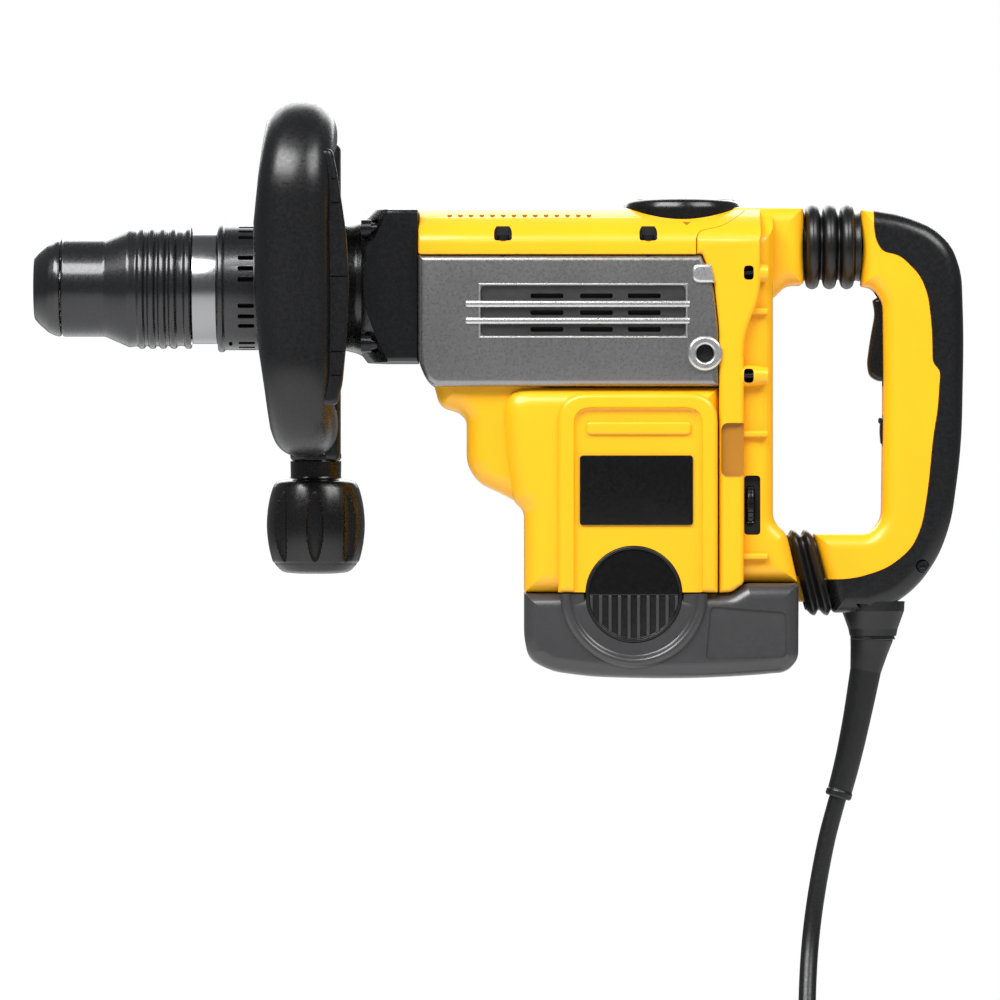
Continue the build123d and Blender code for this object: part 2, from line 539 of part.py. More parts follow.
with BuildPart() as speed_dial:
    # Ribbed thumb wheel that looks out of the left side.
    bar((WHEEL_AT[0] - 2.2, WHEEL_AT[1], WHEEL_AT[2]), (WHEEL_AT[0] + 2.2, WHEEL_AT[1], WHEEL_AT[2]), 13.2)
    with Locations(Plane(origin=WHEEL_AT, z_dir=(1, 0, 0))):
        with PolarLocations(13.2, 24):
            Box(1.6, 1.6, 4.4)
    bar((-95, WHEEL_AT[1], WHEEL_AT[2]), (-83, WHEEL_AT[1], WHEEL_AT[2]), 2 + RUN, Mode.SUBTRACT)
speed_dial.part.label = "speed_dial"
export_step(speed_dial.part, "parts/speed_dial.step")

# ---------------------------------------------------------------- rear handle

HANDLE_OUTER = [(-31.8, 104.6), (-12, 101.7), (3.6, 95.6), (13.8, 86.2), (18.9, 72), (20, 40), (18.9, -16),
                (13.8, -53.6), (7.5, -71.5), (-2.5, -86), (-14, -95.5), (-28, -100.2)]
HANDLE_FRONT = [(-45.7, -100.5), (-56.1, -60.4), (-27.5, -60.4), (-21.2, -53), (-20.4, 10), (-20.9, 57),
                (-26, 64.4), (-31.8, 65.6)]
SHELL_LINE = [(-25.5, 120), (-25.5, 95), (-24.5, 88.7), (-21.4, 83.1), (-12.2, 81.1), (-2, 70.9), (2, 60.7),
              (4, 44), (4.3, 26.5), (8.2, 22.4), (6.9, 2.5), (4.6, -10.7), (2, -37.7), (-1, -56.1),
              (-6.1, -67.8), (-18.1, -78), (-36.2, -83.9), (-80, -83.9), (-80, 120)]


HANDLE_SCREW_LINES = [((-0.4, 0, -76), (-9, 0, -69)), ((-18, 0, 99.5), (-18, 0, 90))]


def handle_blank():
    """The whole D handle as one solid with rounded back edges, still without its cavities."""
    with BuildPart() as blank:
        with BuildSketch(Plane.XZ):
            with BuildLine():
                back = Spline(*HANDLE_OUTER)
                Polyline(back @ 1, *HANDLE_FRONT, back @ 0)
            make_face()
        extrude(amount=HANDLE_HALF, both=True)
        fillet(edges().filter_by(lambda e: e.length > 250), 9)
        # Switch cavity, trigger slot and button slot.
        block((-18.9, -10, -20), (0, 10, 60), Mode.SUBTRACT)
        block((-24, -6.4, 14.5), (-16, 6.4, 62.5), Mode.SUBTRACT)
        block((-24, -4.3, -15.9), (-16, 4.3, -0.4), Mode.SUBTRACT)
        # Seat of the damping spring behind the bellows, and the way of the lower pivot lug.
        bar((-33, 0, BELLOWS_Z), (-28, 0, BELLOWS_Z), 12, Mode.SUBTRACT)
        for start, end in HANDLE_SCREW_LINES:
            bar(start, end, 2.1, Mode.SUBTRACT)
    return blank.part


with BuildPart() as handle_frame:
    # Hard inner part of the handle with two ears over the lower pivot lug.
    add(handle_blank())
    slab(SHELL_LINE, 30, Mode.INTERSECT)
    for side in (-1, 1):
        block((PIVOT[0], side * 5.5, PIVOT[1] - 5), (-45.9, side * 10, PIVOT[1] + 6))
        bar((PIVOT[0], side * 5.5, PIVOT[1]), (PIVOT[0], side * 10, PIVOT[1]), 5.2)
    bar((PIVOT[0], -12, PIVOT[1]), (PIVOT[0], 12, PIVOT[1]), 3 + RUN, Mode.SUBTRACT)
handle_frame.part.label = "handle_frame"
export_step(handle_frame.part, "parts/handle_frame.step")

with BuildPart() as handle_cover:
    # Soft shell around the back of the grip and under the lower arm.
    add(handle_blank())
    slab(SHELL_LINE, 30, Mode.SUBTRACT)
    block((-60, -11, -99), (-45, 11, -82), Mode.SUBTRACT)
handle_cover.part.label = "handle_cover"
export_step(handle_cover.part, "parts/handle_cover.step")

with BuildPart() as handle_screws:
    # Screws through the shell, seen at the lower back corner and at the top of the bow.
    for start, end in HANDLE_SCREW_LINES:
        bar(start, end, 2)
handle_screws.part.label = "handle_screws"
export_step(handle_screws.part, "parts/handle_screws.step")

with BuildPart() as trigger:
    # Hooked at the top, with a belly for the finger; it turns on two short trunnions at its upper end.
    slab([(-25.8, 58.6), (-24.5, 51.5), (-27, 38), (-28.6, 26), (-27.4, 19.5), (-22.4, 16.8), (-15, 18),
          (-13, 30), (-12.6, 56), (-16, 59.2), (-22, 60.4)], 6)
    fillet(edges().group_by(Axis.X)[0], 2)
    bar((-16.5, -9, 55.5), (-16.5, 9, 55.5), 2)
trigger.part.label = "trigger"
export_step(trigger.part, "parts/trigger.step")

with BuildPart() as trigger_switch:
    block((-7, -8, 8), (-0.4, 8, 52))
trigger_switch.part.label = "trigger_switch"
export_step(trigger_switch.part, "parts/trigger_switch.step")

with BuildPart() as lock_button:
    # Rocker pad that keeps the switch on.
    block((-21.4, -4, -15.4), (-14, 4, -0.9))
    bar((-22.6, 0, -2.9), (-20, 0, -2.9), 1.6)
lock_button.part.label = "lock_button"
export_step(lock_button.part, "parts/lock_button.step")

with BuildPart() as upper_bellows:
    # Rubber bellows with three ribs between housing arm and handle.
    bellows_plane = Plane(origin=(0, 0, BELLOWS_Z), x_dir=(1, 0, 0), z_dir=(0, -1, 0))
    ribs = [(-61, 13), (-61, 18)]
    for middle in (-55.6, -46.4, -37.2):
        ribs += [(middle - 4.6, 17.4), (middle - 2.6, 20.6), (middle - 1, 21.4), (middle + 1, 21.4),
                 (middle + 2.6, 20.6)]
    ribs += [(-32, 17.4), (-32, 13)]
    ribs.pop(1)
    revolve(face_of(ribs, bellows_plane), axis=Axis((0, 0, BELLOWS_Z), (1, 0, 0)))
upper_bellows.part.label = "upper_bellows"
export_step(upper_bellows.part, "parts/upper_bellows.step")

with BuildPart() as handle_spring:
    # Damping spring inside the bellows.
    with BuildLine() as handle_spring_line:
        Helix(pitch=7, height=44, radius=9, center=(-75.5, 0, BELLOWS_Z), direction=(1, 0, 0))
    with BuildSketch(Plane(origin=handle_spring_line.line @ 0, z_dir=handle_spring_line.line % 0)):
        Circle(1.3)
    sweep(path=handle_spring_line.line, is_frenet=True)
handle_spring.part.label = "handle_spring"
export_step(handle_spring.part, "parts/handle_spring.step")

with BuildPart() as lower_boot:
    # Slanted rubber sleeve over the lower pivot, with two ribs.
    slab([(-69, -60.6), (-56.7, -60.6), (-46.4, -100.4), (-58, -100.4)], HANDLE_HALF)
    slab([(-64, -62.6), (-61.6, -62.6), (-51.5, -102), (-53.9, -102)], HANDLE_HALF + 1.4)
    block((-72, -11.6, -97.2), (-40, 11.6, -64), Mode.SUBTRACT)
    block((-72, -30, -101), (-64.1, 30, -84.9), Mode.SUBTRACT)
lower_boot.part.label = "lower_boot"
export_step(lower_boot.part, "parts/lower_boot.step")

with BuildPart() as pivot_pin:
    bar((PIVOT[0], -10.8, PIVOT[1]), (PIVOT[0], 10.8, PIVOT[1]), 3)
pivot_pin.part.label = "pivot_pin"
export_step(pivot_pin.part, "parts/pivot_pin.step")

# ---------------------------------------------------------------- side handle

LOOP_TOP = 141.0
LOOP_FOOT = -11.0
LOOP_OUT = -88.0
BAND_HALF = 13.2


def loop_sweep(width, depth, mode=Mode.ADD):
    """Sweeps a rounded rectangle around the side handle's U, from post to post."""
    with BuildLine(Plane.YZ.offset(GRIP_X)) as way:
        FilletPolyline((-11, LOOP_TOP), (LOOP_OUT, LOOP_TOP), (LOOP_OUT, LOOP_FOOT), (-11, LOOP_FOOT), radius=34)
    with BuildSketch(Plane(origin=way.line @ 0, x_dir=(1, 0, 0), z_dir=way.line % 0)) as section:
        RectangleRounded(width, depth, min(width, depth) * 0.42)
    sweep(section.sketch, path=way.line, mode=mode)


with BuildPart() as side_handle_grip:
    # Soft rubber D loop, a tube around the hard core.
    loop_sweep(34, 33)
    loop_sweep(14, 13, Mode.SUBTRACT)
side_handle_grip.part.label = "side_handle_grip"
export_step(side_handle_grip.part, "parts/side_handle_grip.step")

with BuildPart() as side_handle_frame:
    # Hard core of the loop, a post above and below, and the strip behind the grip.
    loop_sweep(14, 13)
    block((CLAMP_X - 25, -11, 101.5), (CLAMP_X + BAND_HALF, 13, LOOP_TOP + 15))
    block((CLAMP_X - 25, -11, LOOP_FOOT - 17), (CLAMP_X + BAND_HALF, 13, 20.8))
    block((-304.8, LOOP_OUT - 10, 5), (-294, LOOP_OUT + 10, 125))
    bar((CLAMP_X, 0, -40), (CLAMP_X, 0, 40), 4 + RUN, Mode.SUBTRACT)
side_handle_frame.part.label = "side_handle_frame"
export_step(side_handle_frame.part, "parts/side_handle_frame.step")

with BuildPart() as clamp_band:
    # Steel band around the neck with a nut block below.
    ring(CLAMP_X - BAND_HALF, CLAMP_X + BAND_HALF, 35, 31 + GAP)
    block((CLAMP_X - 9, -9, 21), (CLAMP_X + 9, 9, 31))
    block((CLAMP_X - 9, -9, 99), (CLAMP_X + 9, 9, 101.4))
    ring(CLAMP_X - 30, CLAMP_X + 30, 31 + GAP, 0, Mode.SUBTRACT)
    bar((CLAMP_X, 0, 10), (CLAMP_X, 0, 33), 3.95, Mode.SUBTRACT)
clamp_band.part.label = "clamp_band"
export_step(clamp_band.part, "parts/clamp_band.step")

with BuildPart() as clamp_bolt:
    bar((CLAMP_X, 0, -60), (CLAMP_X, 0, 31), 3.95)
clamp_bolt.part.label = "clamp_bolt"
export_step(clamp_bolt.part, "parts/clamp_bolt.step")

with BuildPart() as clamp_knob:
    # Fluted knob with a round neck, turned on the clamp bolt.
    knob_plane = Plane(origin=(CLAMP_X, 0, 0), x_dir=(1, 0, 0), z_dir=(0, -1, 0))
    with BuildSketch(knob_plane) as knob_outline:
        with BuildLine():
            Polyline((4.05, -61), (4.05, -28.6), (13, -28.6), (12.6, -32.8), (20, -34.4))
            Spline((20, -34.4), (24.8, -45), (25.3, -58), (23.4, -72), (19.6, -78.4), (10, -80.6), (0, -81))
            Polyline((0, -81), (0, -61), (4.05, -61))
        make_face()
    revolve(knob_outline.sketch, axis=Axis((CLAMP_X, 0, 0), (0, 0, 1)))
    with Locations((CLAMP_X, 0, -56)):
        with PolarLocations(27.4, 8):
            Cylinder(4.2, 36, mode=Mode.SUBTRACT)
clamp_knob.part.label = "clamp_knob"
export_step(clamp_knob.part, "parts/clamp_knob.step")

# ---------------------------------------------------------------- cord

GLAND_X = -25.5
LEAD_WAY = [(-43.4, -195), (-49.6, -219), (-54.6, -245), (-58.2, -273), (-59.8, -300), (-60, -325)]
TAIL_X = COIL_CENTRE[0] + COIL_MEAN_R + 9
TAIL_END = -487.0


def cord_tube(points):
    """A cord stretch of straight runs joined by arcs as large as the runs allow; prints its radii."""
    radii = []
    for before, at, after in zip(points, points[1:], points[2:]):
        inward = Vector(*at) - Vector(*before)
        outward = Vector(*after) - Vector(*at)
        half_turn = math.radians(inward.get_angle(outward)) / 2
        radii.append(0.45 * min(inward.length, outward.length) / math.tan(half_turn))
    with BuildPart() as tube:
        with BuildLine() as way:
            FilletPolyline(*points, radius=radii)
        with BuildSketch(Plane(origin=way.line @ 0, z_dir=way.line % 0)):
            Circle(CORD_R)
        sweep(path=way.line)
    straight_volume = math.pi * CORD_R ** 2 * way.wires()[0].length
    print("cord radii", [round(r) for r in radii], "volume share", round(tube.part.volume / straight_volume, 4))
    return tube.part


with BuildPart() as cord_gland:
    # Rubber socket under the back of the handle.
    with Locations(Plane(origin=(GLAND_X, 0, -111), z_dir=(0, 0, 1))):
        Cone(12, 16.4, 21, align=(Align.CENTER, Align.CENTER, Align.MIN))
    add(handle_blank(), mode=Mode.SUBTRACT)
cord_gland.part.label = "cord_gland"
export_step(cord_gland.part, "parts/cord_gland.step")

with BuildPart() as strain_relief:
    # Tapering, bending boot that leads the cord out of the gland.
    for x, z, radius, lean in ((-26, -111, 10.7, 0), (-29, -129, 7.8, 0.18), (-33.2, -151.5, 7, 0.19),
                               (-37.6, -173, 6.6, 0.22), (-43.4, -195, 6.4, 0.26)):
        with BuildSketch(Plane(origin=(x, 0, z), x_dir=(0, 1, 0), z_dir=(-lean, 0, -1))):
            Circle(radius)
    loft()
strain_relief.part.label = "strain_relief"
export_step(strain_relief.part, "parts/strain_relief.step")

with BuildPart() as cord_coil:
    # The rest of the cord as one hanging ring: about eleven turns.
    coil_axis = Axis((COIL_CENTRE[0], 0, COIL_CENTRE[1]), (0, 1, 0))
    middle_x = COIL_CENTRE[0] + COIL_MEAN_R
    with BuildSketch(Plane(origin=(middle_x, 0, COIL_CENTRE[1]), x_dir=(1, 0, 0), z_dir=(0, 0, 1))):
        RectangleRounded(COIL_DEPTH, COIL_WIDTH, 5)
    revolve(axis=coil_axis)
cord_coil.part.label = "cord_coil"
export_step(cord_coil.part, "parts/cord_coil.step")

with BuildPart() as power_cord:
    # Lead from the strain relief down to the top of the coil.
    add(cord_tube([(x, 0, z) for x, z in LEAD_WAY]))
    add(cord_coil.part, mode=Mode.SUBTRACT)
power_cord.part.label = "power_cord"
export_step(power_cord.part, "parts/power_cord.step")

with BuildPart() as cord_tail:
    # Last stretch from the coil straight down to the plug.
    bar((TAIL_X, 0, TAIL_END), (TAIL_X, 0, COIL_CENTRE[1] - 15), CORD_R)
    add(cord_coil.part, mode=Mode.SUBTRACT)
cord_tail.part.label = "cord_tail"
export_step(cord_tail.part, "parts/cord_tail.step")

with BuildPart() as cord_tie:
    # Strap around the bundle.
    tie_x = COIL_CENTRE[0] - COIL_MEAN_R
    block((tie_x - 15.3, -19.8, COIL_CENTRE[1] - 6), (tie_x + 15.3, 19.8, COIL_CENTRE[1] + 6))
    add(cord_coil.part, mode=Mode.SUBTRACT)
cord_tie.part.label = "cord_tie"
export_step(cord_tie.part, "parts/cord_tie.step")

with BuildPart() as mains_plug:
    # Round two-pin plug, pins down.
    with Locations(Plane(origin=(TAIL_X, 0, TAIL_END), z_dir=(0, 0, -1))):
        Cone(6.5, 18, 30, align=(Align.CENTER, Align.CENTER, Align.MIN))
    bar((TAIL_X, 0, TAIL_END - 48), (TAIL_X, 0, TAIL_END - 30), 18)
    for side in (-1, 1):
        bar((TAIL_X + side * 9.5, 0, TAIL_END - 67), (TAIL_X + side * 9.5, 0, TAIL_END - 47), 2.4)
mains_plug.part.label = "mains_plug"
export_step(mains_plug.part, "parts/mains_plug.step")
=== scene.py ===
import bmesh
import bpy
import numpy as np
from mathutils import Matrix, Vector


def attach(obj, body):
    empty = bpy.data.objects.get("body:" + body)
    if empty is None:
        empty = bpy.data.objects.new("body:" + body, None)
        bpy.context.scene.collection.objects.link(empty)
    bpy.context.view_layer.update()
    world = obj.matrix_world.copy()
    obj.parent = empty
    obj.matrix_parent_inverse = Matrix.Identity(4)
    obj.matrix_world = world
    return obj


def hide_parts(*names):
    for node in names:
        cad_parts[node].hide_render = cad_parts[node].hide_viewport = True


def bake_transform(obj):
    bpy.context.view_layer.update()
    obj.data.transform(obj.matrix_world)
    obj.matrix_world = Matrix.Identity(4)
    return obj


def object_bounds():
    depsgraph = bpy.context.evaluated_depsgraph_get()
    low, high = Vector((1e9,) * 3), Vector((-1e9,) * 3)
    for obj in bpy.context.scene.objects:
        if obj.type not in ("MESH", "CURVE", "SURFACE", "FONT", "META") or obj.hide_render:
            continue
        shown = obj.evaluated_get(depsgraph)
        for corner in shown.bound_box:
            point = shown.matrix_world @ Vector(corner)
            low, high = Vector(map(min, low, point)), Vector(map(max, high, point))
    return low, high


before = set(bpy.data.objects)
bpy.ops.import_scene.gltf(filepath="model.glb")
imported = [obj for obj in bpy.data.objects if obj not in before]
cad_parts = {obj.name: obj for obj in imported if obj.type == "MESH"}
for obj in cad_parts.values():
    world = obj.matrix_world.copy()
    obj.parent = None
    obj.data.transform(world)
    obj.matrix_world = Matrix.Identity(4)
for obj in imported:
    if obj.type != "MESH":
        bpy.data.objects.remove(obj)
cad_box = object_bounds()

# Studio: a long lens looking straight at the tool's left side, white surroundings, a pale floor under the
# hanging lead and four soft panels. The tool is held in the air, so nothing touches the floor.
VIEW_CENTRE = (-0.2157, -0.0434)
VIEW_WIDTH = 0.51
LENS = 300.0
SENSOR = 36
AIM = Vector((-0.2, 0, 0.03))
FLOOR_GAP = 0.004
FLOOR_RADIUS = 4
FLOOR_SIDES = 96
camera = bpy.data.objects.new("camera", bpy.data.cameras.new("camera"))
bpy.context.collection.objects.link(camera)
camera.data.lens = LENS
camera.data.clip_end = 60
camera.location = (VIEW_CENTRE[0], -VIEW_WIDTH * LENS / SENSOR, VIEW_CENTRE[1])
camera.rotation_euler = (np.pi / 2, 0, 0)
bpy.context.scene.camera = camera
bpy.context.scene.view_settings.view_transform = "Standard"

world = bpy.data.worlds.new("white_room")
bpy.context.scene.world = world
world.use_nodes = True
seen = world.node_tree.nodes["Background"]
seen.inputs["Color"].default_value = (1, 1, 1, 1)
around = world.node_tree.nodes.new("ShaderNodeBackground")
around.inputs["Color"].default_value = (0.93, 0.96, 1, 1)
around.inputs["Strength"].default_value = 0.2
ray = world.node_tree.nodes.new("ShaderNodeLightPath")
either = world.node_tree.nodes.new("ShaderNodeMixShader")
world.node_tree.links.new(ray.outputs["Is Camera Ray"], either.inputs[0])
world.node_tree.links.new(around.outputs[0], either.inputs[1])
world.node_tree.links.new(seen.outputs[0], either.inputs[2])
world.node_tree.links.new(either.outputs[0], world.node_tree.nodes["World Output"].inputs[0])

# Each soft panel's name, place and size in metres, and its power in watts.
SOFT_PANELS = (("over_left", (-1.0, -1.3, 1.5), (1.6, 0.9), 60),
               ("over_right", (0.9, -1.0, 1.3), (1.1, 0.8), 24),
               ("low_fill", (-0.3, -1.7, -1.1), (1.8, 0.5), 12),
               ("behind", (-0.3, 1.6, 0.9), (1.8, 1.2), 26))
for name, place, size, power in SOFT_PANELS:
    panel = bpy.data.objects.new(name, bpy.data.lights.new(name, "AREA"))
    panel.data.shape = "RECTANGLE"
    panel.data.size, panel.data.size_y = size
    panel.data.energy = power
    panel.location = place
    panel.rotation_euler = (AIM - Vector(place)).to_track_quat("-Z", "Y").to_euler()
    bpy.context.collection.objects.link(panel)

floor_mesh = bpy.data.meshes.new("floor")
around_floor = np.linspace(0, 2 * np.pi, FLOOR_SIDES, endpoint=False)
floor_z = cad_box[0][2] - FLOOR_GAP
floor_rim = [(FLOOR_RADIUS * c, FLOOR_RADIUS * s, floor_z)
             for c, s in zip(np.cos(around_floor), np.sin(around_floor))]
floor_mesh.from_pydata(floor_rim, [], [list(range(FLOOR_SIDES))])
floor = bpy.data.objects.new("floor", floor_mesh)
bpy.context.collection.objects.link(floor)
floor_paint = bpy.data.materials.new("floor_paint")
floor_paint.use_nodes = True
floor_paint.node_tree.nodes["Principled BSDF"].inputs["Base Color"].default_value = (0.86, 0.86, 0.86, 1)
floor_paint.node_tree.nodes["Principled BSDF"].inputs["Roughness"].default_value = 0.6
floor_mesh.materials.append(floor_paint)


# Dust cap: soft black rubber lip cap, moulded, clipped over the mouth of the steel holder.
# It is a turned shape: every turned part of the nose is made with turned().
# AXIS_Z is the height of the nose's axis in millimetres, MM turns millimetres into metres, and an edge that
# turns by more than SHARP degrees stays sharp.
AXIS_Z = 65.0
MM = 0.001
SHARP = 38


def finish_material(name, colour, rough, grain=0.0, grain_size=0.4, metal=0.0, coat=0.0, blotch=0.05,
                    streak=None, bump=0.1):
    """A procedural finish: a base colour made a little lighter and darker by slow noise, fine moulded or
    cast grain as bump, and roughness that wanders with the grain. grain and grain_size are its depth and
    width in millimetres, and streak stretches it along x, y and z."""
    material = bpy.data.materials.new(name)
    material.use_nodes = True
    tree = material.node_tree
    shader = tree.nodes["Principled BSDF"]
    shader.inputs["Metallic"].default_value = metal
    shader.inputs["Coat Weight"].default_value = coat
    shader.inputs["Coat Roughness"].default_value = 0.12
    place = tree.nodes.new("ShaderNodeTexCoord")
    slow = tree.nodes.new("ShaderNodeTexNoise")
    slow.inputs["Scale"].default_value = 28
    slow.inputs["Detail"].default_value = 3
    fine = tree.nodes.new("ShaderNodeTexNoise")
    fine.inputs["Scale"].default_value = 1000 / grain_size / 3
    fine.inputs["Detail"].default_value = 4
    fine.inputs["Roughness"].default_value = 0.65
    stretch = tree.nodes.new("ShaderNodeMapping")
    stretch.inputs["Scale"].default_value = streak or (1, 1, 1)
    tree.links.new(place.outputs["Object"], slow.inputs["Vector"])
    tree.links.new(place.outputs["Object"], stretch.inputs["Vector"])
    tree.links.new(stretch.outputs["Vector"], fine.inputs["Vector"])
    shade = tree.nodes.new("ShaderNodeMapRange")
    shade.inputs["From Min"].default_value = 0.3
    shade.inputs["From Max"].default_value = 0.7
    shade.inputs["To Min"].default_value = 1 - blotch
    shade.inputs["To Max"].default_value = 1 + blotch
    tree.links.new(slow.outputs["Fac"], shade.inputs["Value"])
    tint = tree.nodes.new("ShaderNodeVectorMath")
    tint.operation = "SCALE"
    tint.inputs[0].default_value = colour
    tree.links.new(shade.outputs["Result"], tint.inputs["Scale"])
    tree.links.new(tint.outputs["Vector"], shader.inputs["Base Color"])
    gloss = tree.nodes.new("ShaderNodeMapRange")
    gloss.inputs["From Min"].default_value = 0.35
    gloss.inputs["From Max"].default_value = 0.65
    gloss.inputs["To Min"].default_value = max(rough - 0.05, 0.02)
    gloss.inputs["To Max"].default_value = rough + 0.06
    tree.links.new(fine.outputs["Fac"], gloss.inputs["Value"])
    tree.links.new(gloss.outputs["Result"], shader.inputs["Roughness"])
    if grain:
        relief = tree.nodes.new("ShaderNodeBump")
        relief.inputs["Strength"].default_value = bump
        relief.inputs["Distance"].default_value = grain * MM
        tree.links.new(fine.outputs["Fac"], relief.inputs["Height"])
        tree.links.new(relief.outputs["Normal"], shader.inputs["Normal"])
    return material


def softened(points, radius, closed=False, steps=6):
    """Rounds each corner: the curve leaves a leg at the stated distance from the corner, or 0.45 of the
    shorter leg, and follows the parabola that the corner draws in between."""
    corner = np.asarray(points, float)
    before = np.roll(corner, 1, axis=0)
    after = np.roll(corner, -1, axis=0)
    to_before = before - corner
    to_after = after - corner
    leg_b = np.linalg.norm(to_before, axis=1, keepdims=True)
    leg_a = np.linalg.norm(to_after, axis=1, keepdims=True)
    reach = np.minimum(np.broadcast_to(radius, len(corner))[:, None], 0.45 * np.minimum(leg_b, leg_a))
    start = corner + to_before / leg_b * reach
    end = corner + to_after / leg_a * reach
    s = np.linspace(0, 1, steps)[None, :, None]
    curve = (1 - s) ** 2 * start[:, None] + 2 * s * (1 - s) * corner[:, None] + s ** 2 * end[:, None]
    if closed:
        return curve.reshape(-1, corner.shape[1])
    return np.concatenate([corner[:1], curve[1:-1].reshape(-1, corner.shape[1]), corner[-1:]])


def quads(rows, columns, close_rows=False):
    """Four-cornered faces of a grid of rows x columns points. Columns join end to end, rows where asked."""
    r = np.arange(rows if close_rows else rows - 1)[:, None]
    c = np.arange(columns)[None, :]
    r2 = (r + 1) % rows
    c2 = (c + 1) % columns
    corners = [r * columns + c, r * columns + c2, r2 * columns + c2, r2 * columns + c]
    return np.stack(corners, axis=-1).reshape(-1, 4)


def solid(name, points, faces, material, sharp=SHARP):
    """Puts a millimetre grid into a mesh object in metres, faces outwards, with edges sharp past an angle."""
    mesh = bpy.data.meshes.new(name)
    mesh.from_pydata((np.asarray(points) * MM).tolist(), [], [list(map(int, f)) for f in faces])
    mesh.validate()
    piece = bpy.data.objects.new(name, mesh)
    bpy.context.collection.objects.link(piece)
    tidy_mesh(piece, sharp)
    mesh.materials.append(material)
    return piece


def tidy_mesh(piece, sharp=SHARP):
    """Merges doubled points, turns all faces outwards and marks edges sharper than the angle."""
    merged = bmesh.new()
    merged.from_mesh(piece.data)
    bmesh.ops.remove_doubles(merged, verts=merged.verts, dist=2e-6)
    bmesh.ops.recalc_face_normals(merged, faces=merged.faces)
    merged.to_mesh(piece.data)
    merged.free()
    piece.data.shade_smooth()
    piece.data.set_sharp_from_angle(angle=np.radians(sharp))


def turned(name, profile, material, centre=(0, 0, AXIS_Z), axis="x", sides=96, closed=True, wave=None):
    """Turns a profile of (along, radius) points about an axis: a point is the centre, plus along in the
    axis's direction, plus radius*cos and radius*sin across it. wave(along, angle) may scale the radius."""
    profile = np.asarray(profile, float)
    angle = np.linspace(0, 2 * np.pi, sides, endpoint=False)
    along = np.repeat(profile[:, :1], sides, axis=1)
    radius = np.repeat(profile[:, 1:], sides, axis=1)
    if wave:
        radius = radius * wave(along, angle[None, :])
    first = radius * np.cos(angle)
    second = radius * np.sin(angle)
    order = {"x": (along, first, second), "y": (first, along, second), "z": (first, second, along)}[axis]
    grid = np.stack(order, axis=-1) + np.asarray(centre, float)
    return solid(name, grid.reshape(-1, 3), quads(len(profile), sides, close_rows=closed), material)


rubber = finish_material("nose_rubber", (0.006, 0.006, 0.0065), 0.24, grain=0.02, grain_size=0.5,
                         blotch=0.12, coat=0.5, bump=0.08)
dust_cap = turned("soft_dust_cap", softened([(-453, 11.5), (-453, 16), (-450.6, 18.8), (-445.6, 23.2),
                                             (-441.6, 24.9), (-439.3, 25), (-439.3, 15.4), (-447.1, 15.4),
                                             (-447.1, 10), (-451, 9.9)], 1.0, closed=True), rubber)
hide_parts("dust_cap")
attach(dust_cap, "chuck")

# Locking sleeve: one black moulding pulled back against its spring to free the chisel. Plain nose, flare,
# then a finger grip with four ring ribs and a lip.
sleeve_finish = finish_material("sleeve_satin", (0.03, 0.03, 0.032), 0.28, grain=0.02, grain_size=0.5,
                                metal=0.75, blotch=0.1, coat=0.5, bump=0.08)
rib_steps = []
for rib in range(4):
    start = -400.4 + 5.4 * rib
    rib_steps += [(start, 30.0), (start + 1.2, 31.3), (start + 3.4, 31.3), (start + 4.2, 30.0)]
sleeve = turned("grip_sleeve", softened([(-438.6, 20), (-438.6, 24.6), (-437.8, 25.1), (-417, 25.1),
                                         (-404.6, 30.6)] + rib_steps
                                        + [(-376.6, 29.8), (-375.6, 31.3), (-372.9, 31.3), (-372.9, 29.2),
                                           (-398, 29.2), (-398, 23.6), (-419, 23.6), (-420, 17.5),
                                           (-436, 17.5)], 0.9, closed=True), sleeve_finish)
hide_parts("locking_sleeve")
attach(sleeve, "sleeve")

# Tool holder: a hardened steel tube, bored for the chisel, with a ground neck ring behind the sleeve. It is
# turned, and carries the indexing collar on its rear end.
neck_steel = finish_material("blackened_steel", (0.3, 0.3, 0.305), 0.2, grain=0.01, grain_size=0.3,
                             metal=1.0, blotch=0.08, bump=0.1)
holder = turned("steel_holder", softened([(-447, 9.6), (-446.5, 9.1), (-359, 9.1), (-359, 12.6),
                                          (-337.6, 12.6), (-337.6, 20.4), (-359.5, 20.4), (-359.5, 28.8),
                                          (-372.3, 28.8), (-372.3, 15), (-447, 15)], 0.6, closed=True),
                neck_steel)
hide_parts("tool_holder")
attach(holder, "chuck")

# Indexing collar: black coated steel ring that turns the holder, with a lip in front and eight groups of
# three milled slots. A small setting hole lies near the lip. Blocks are made with casting().
collar_coat = finish_material("collar_coat", (0.05, 0.05, 0.052), 0.3, grain=0.02, grain_size=0.4,
                              metal=0.9, blotch=0.12, coat=0.3, bump=0.1)
# Painted shade: a near-black finish that cutters leave on the faces they cut (slots, holes, pockets, bores,
# windows, joint lines), standing in for the shade inside them.
painted_shade_inside = finish_material("painted_shade_hollow", (0.0025, 0.0025, 0.0025), 0.7, grain=0.05)
# KEEN is the rim in millimetres of what is only cut out, and a cut edge stays sharp past CUT_SHARP degrees.
KEEN = 0.01
CUT_SHARP = 30


def shape(corners, radius):
    """Corners of a closed outline, with how far each is rounded."""
    corners = np.asarray(corners, float)
    return corners, np.broadcast_to(np.asarray(radius, float), len(corners))


def capped(rows, columns):
    """The faces of a tube of rows x columns points, with one many-cornered face over each end."""
    return quads(rows, columns).tolist() + [list(range(columns)),
                                            list(range((rows - 1) * columns, rows * columns))]


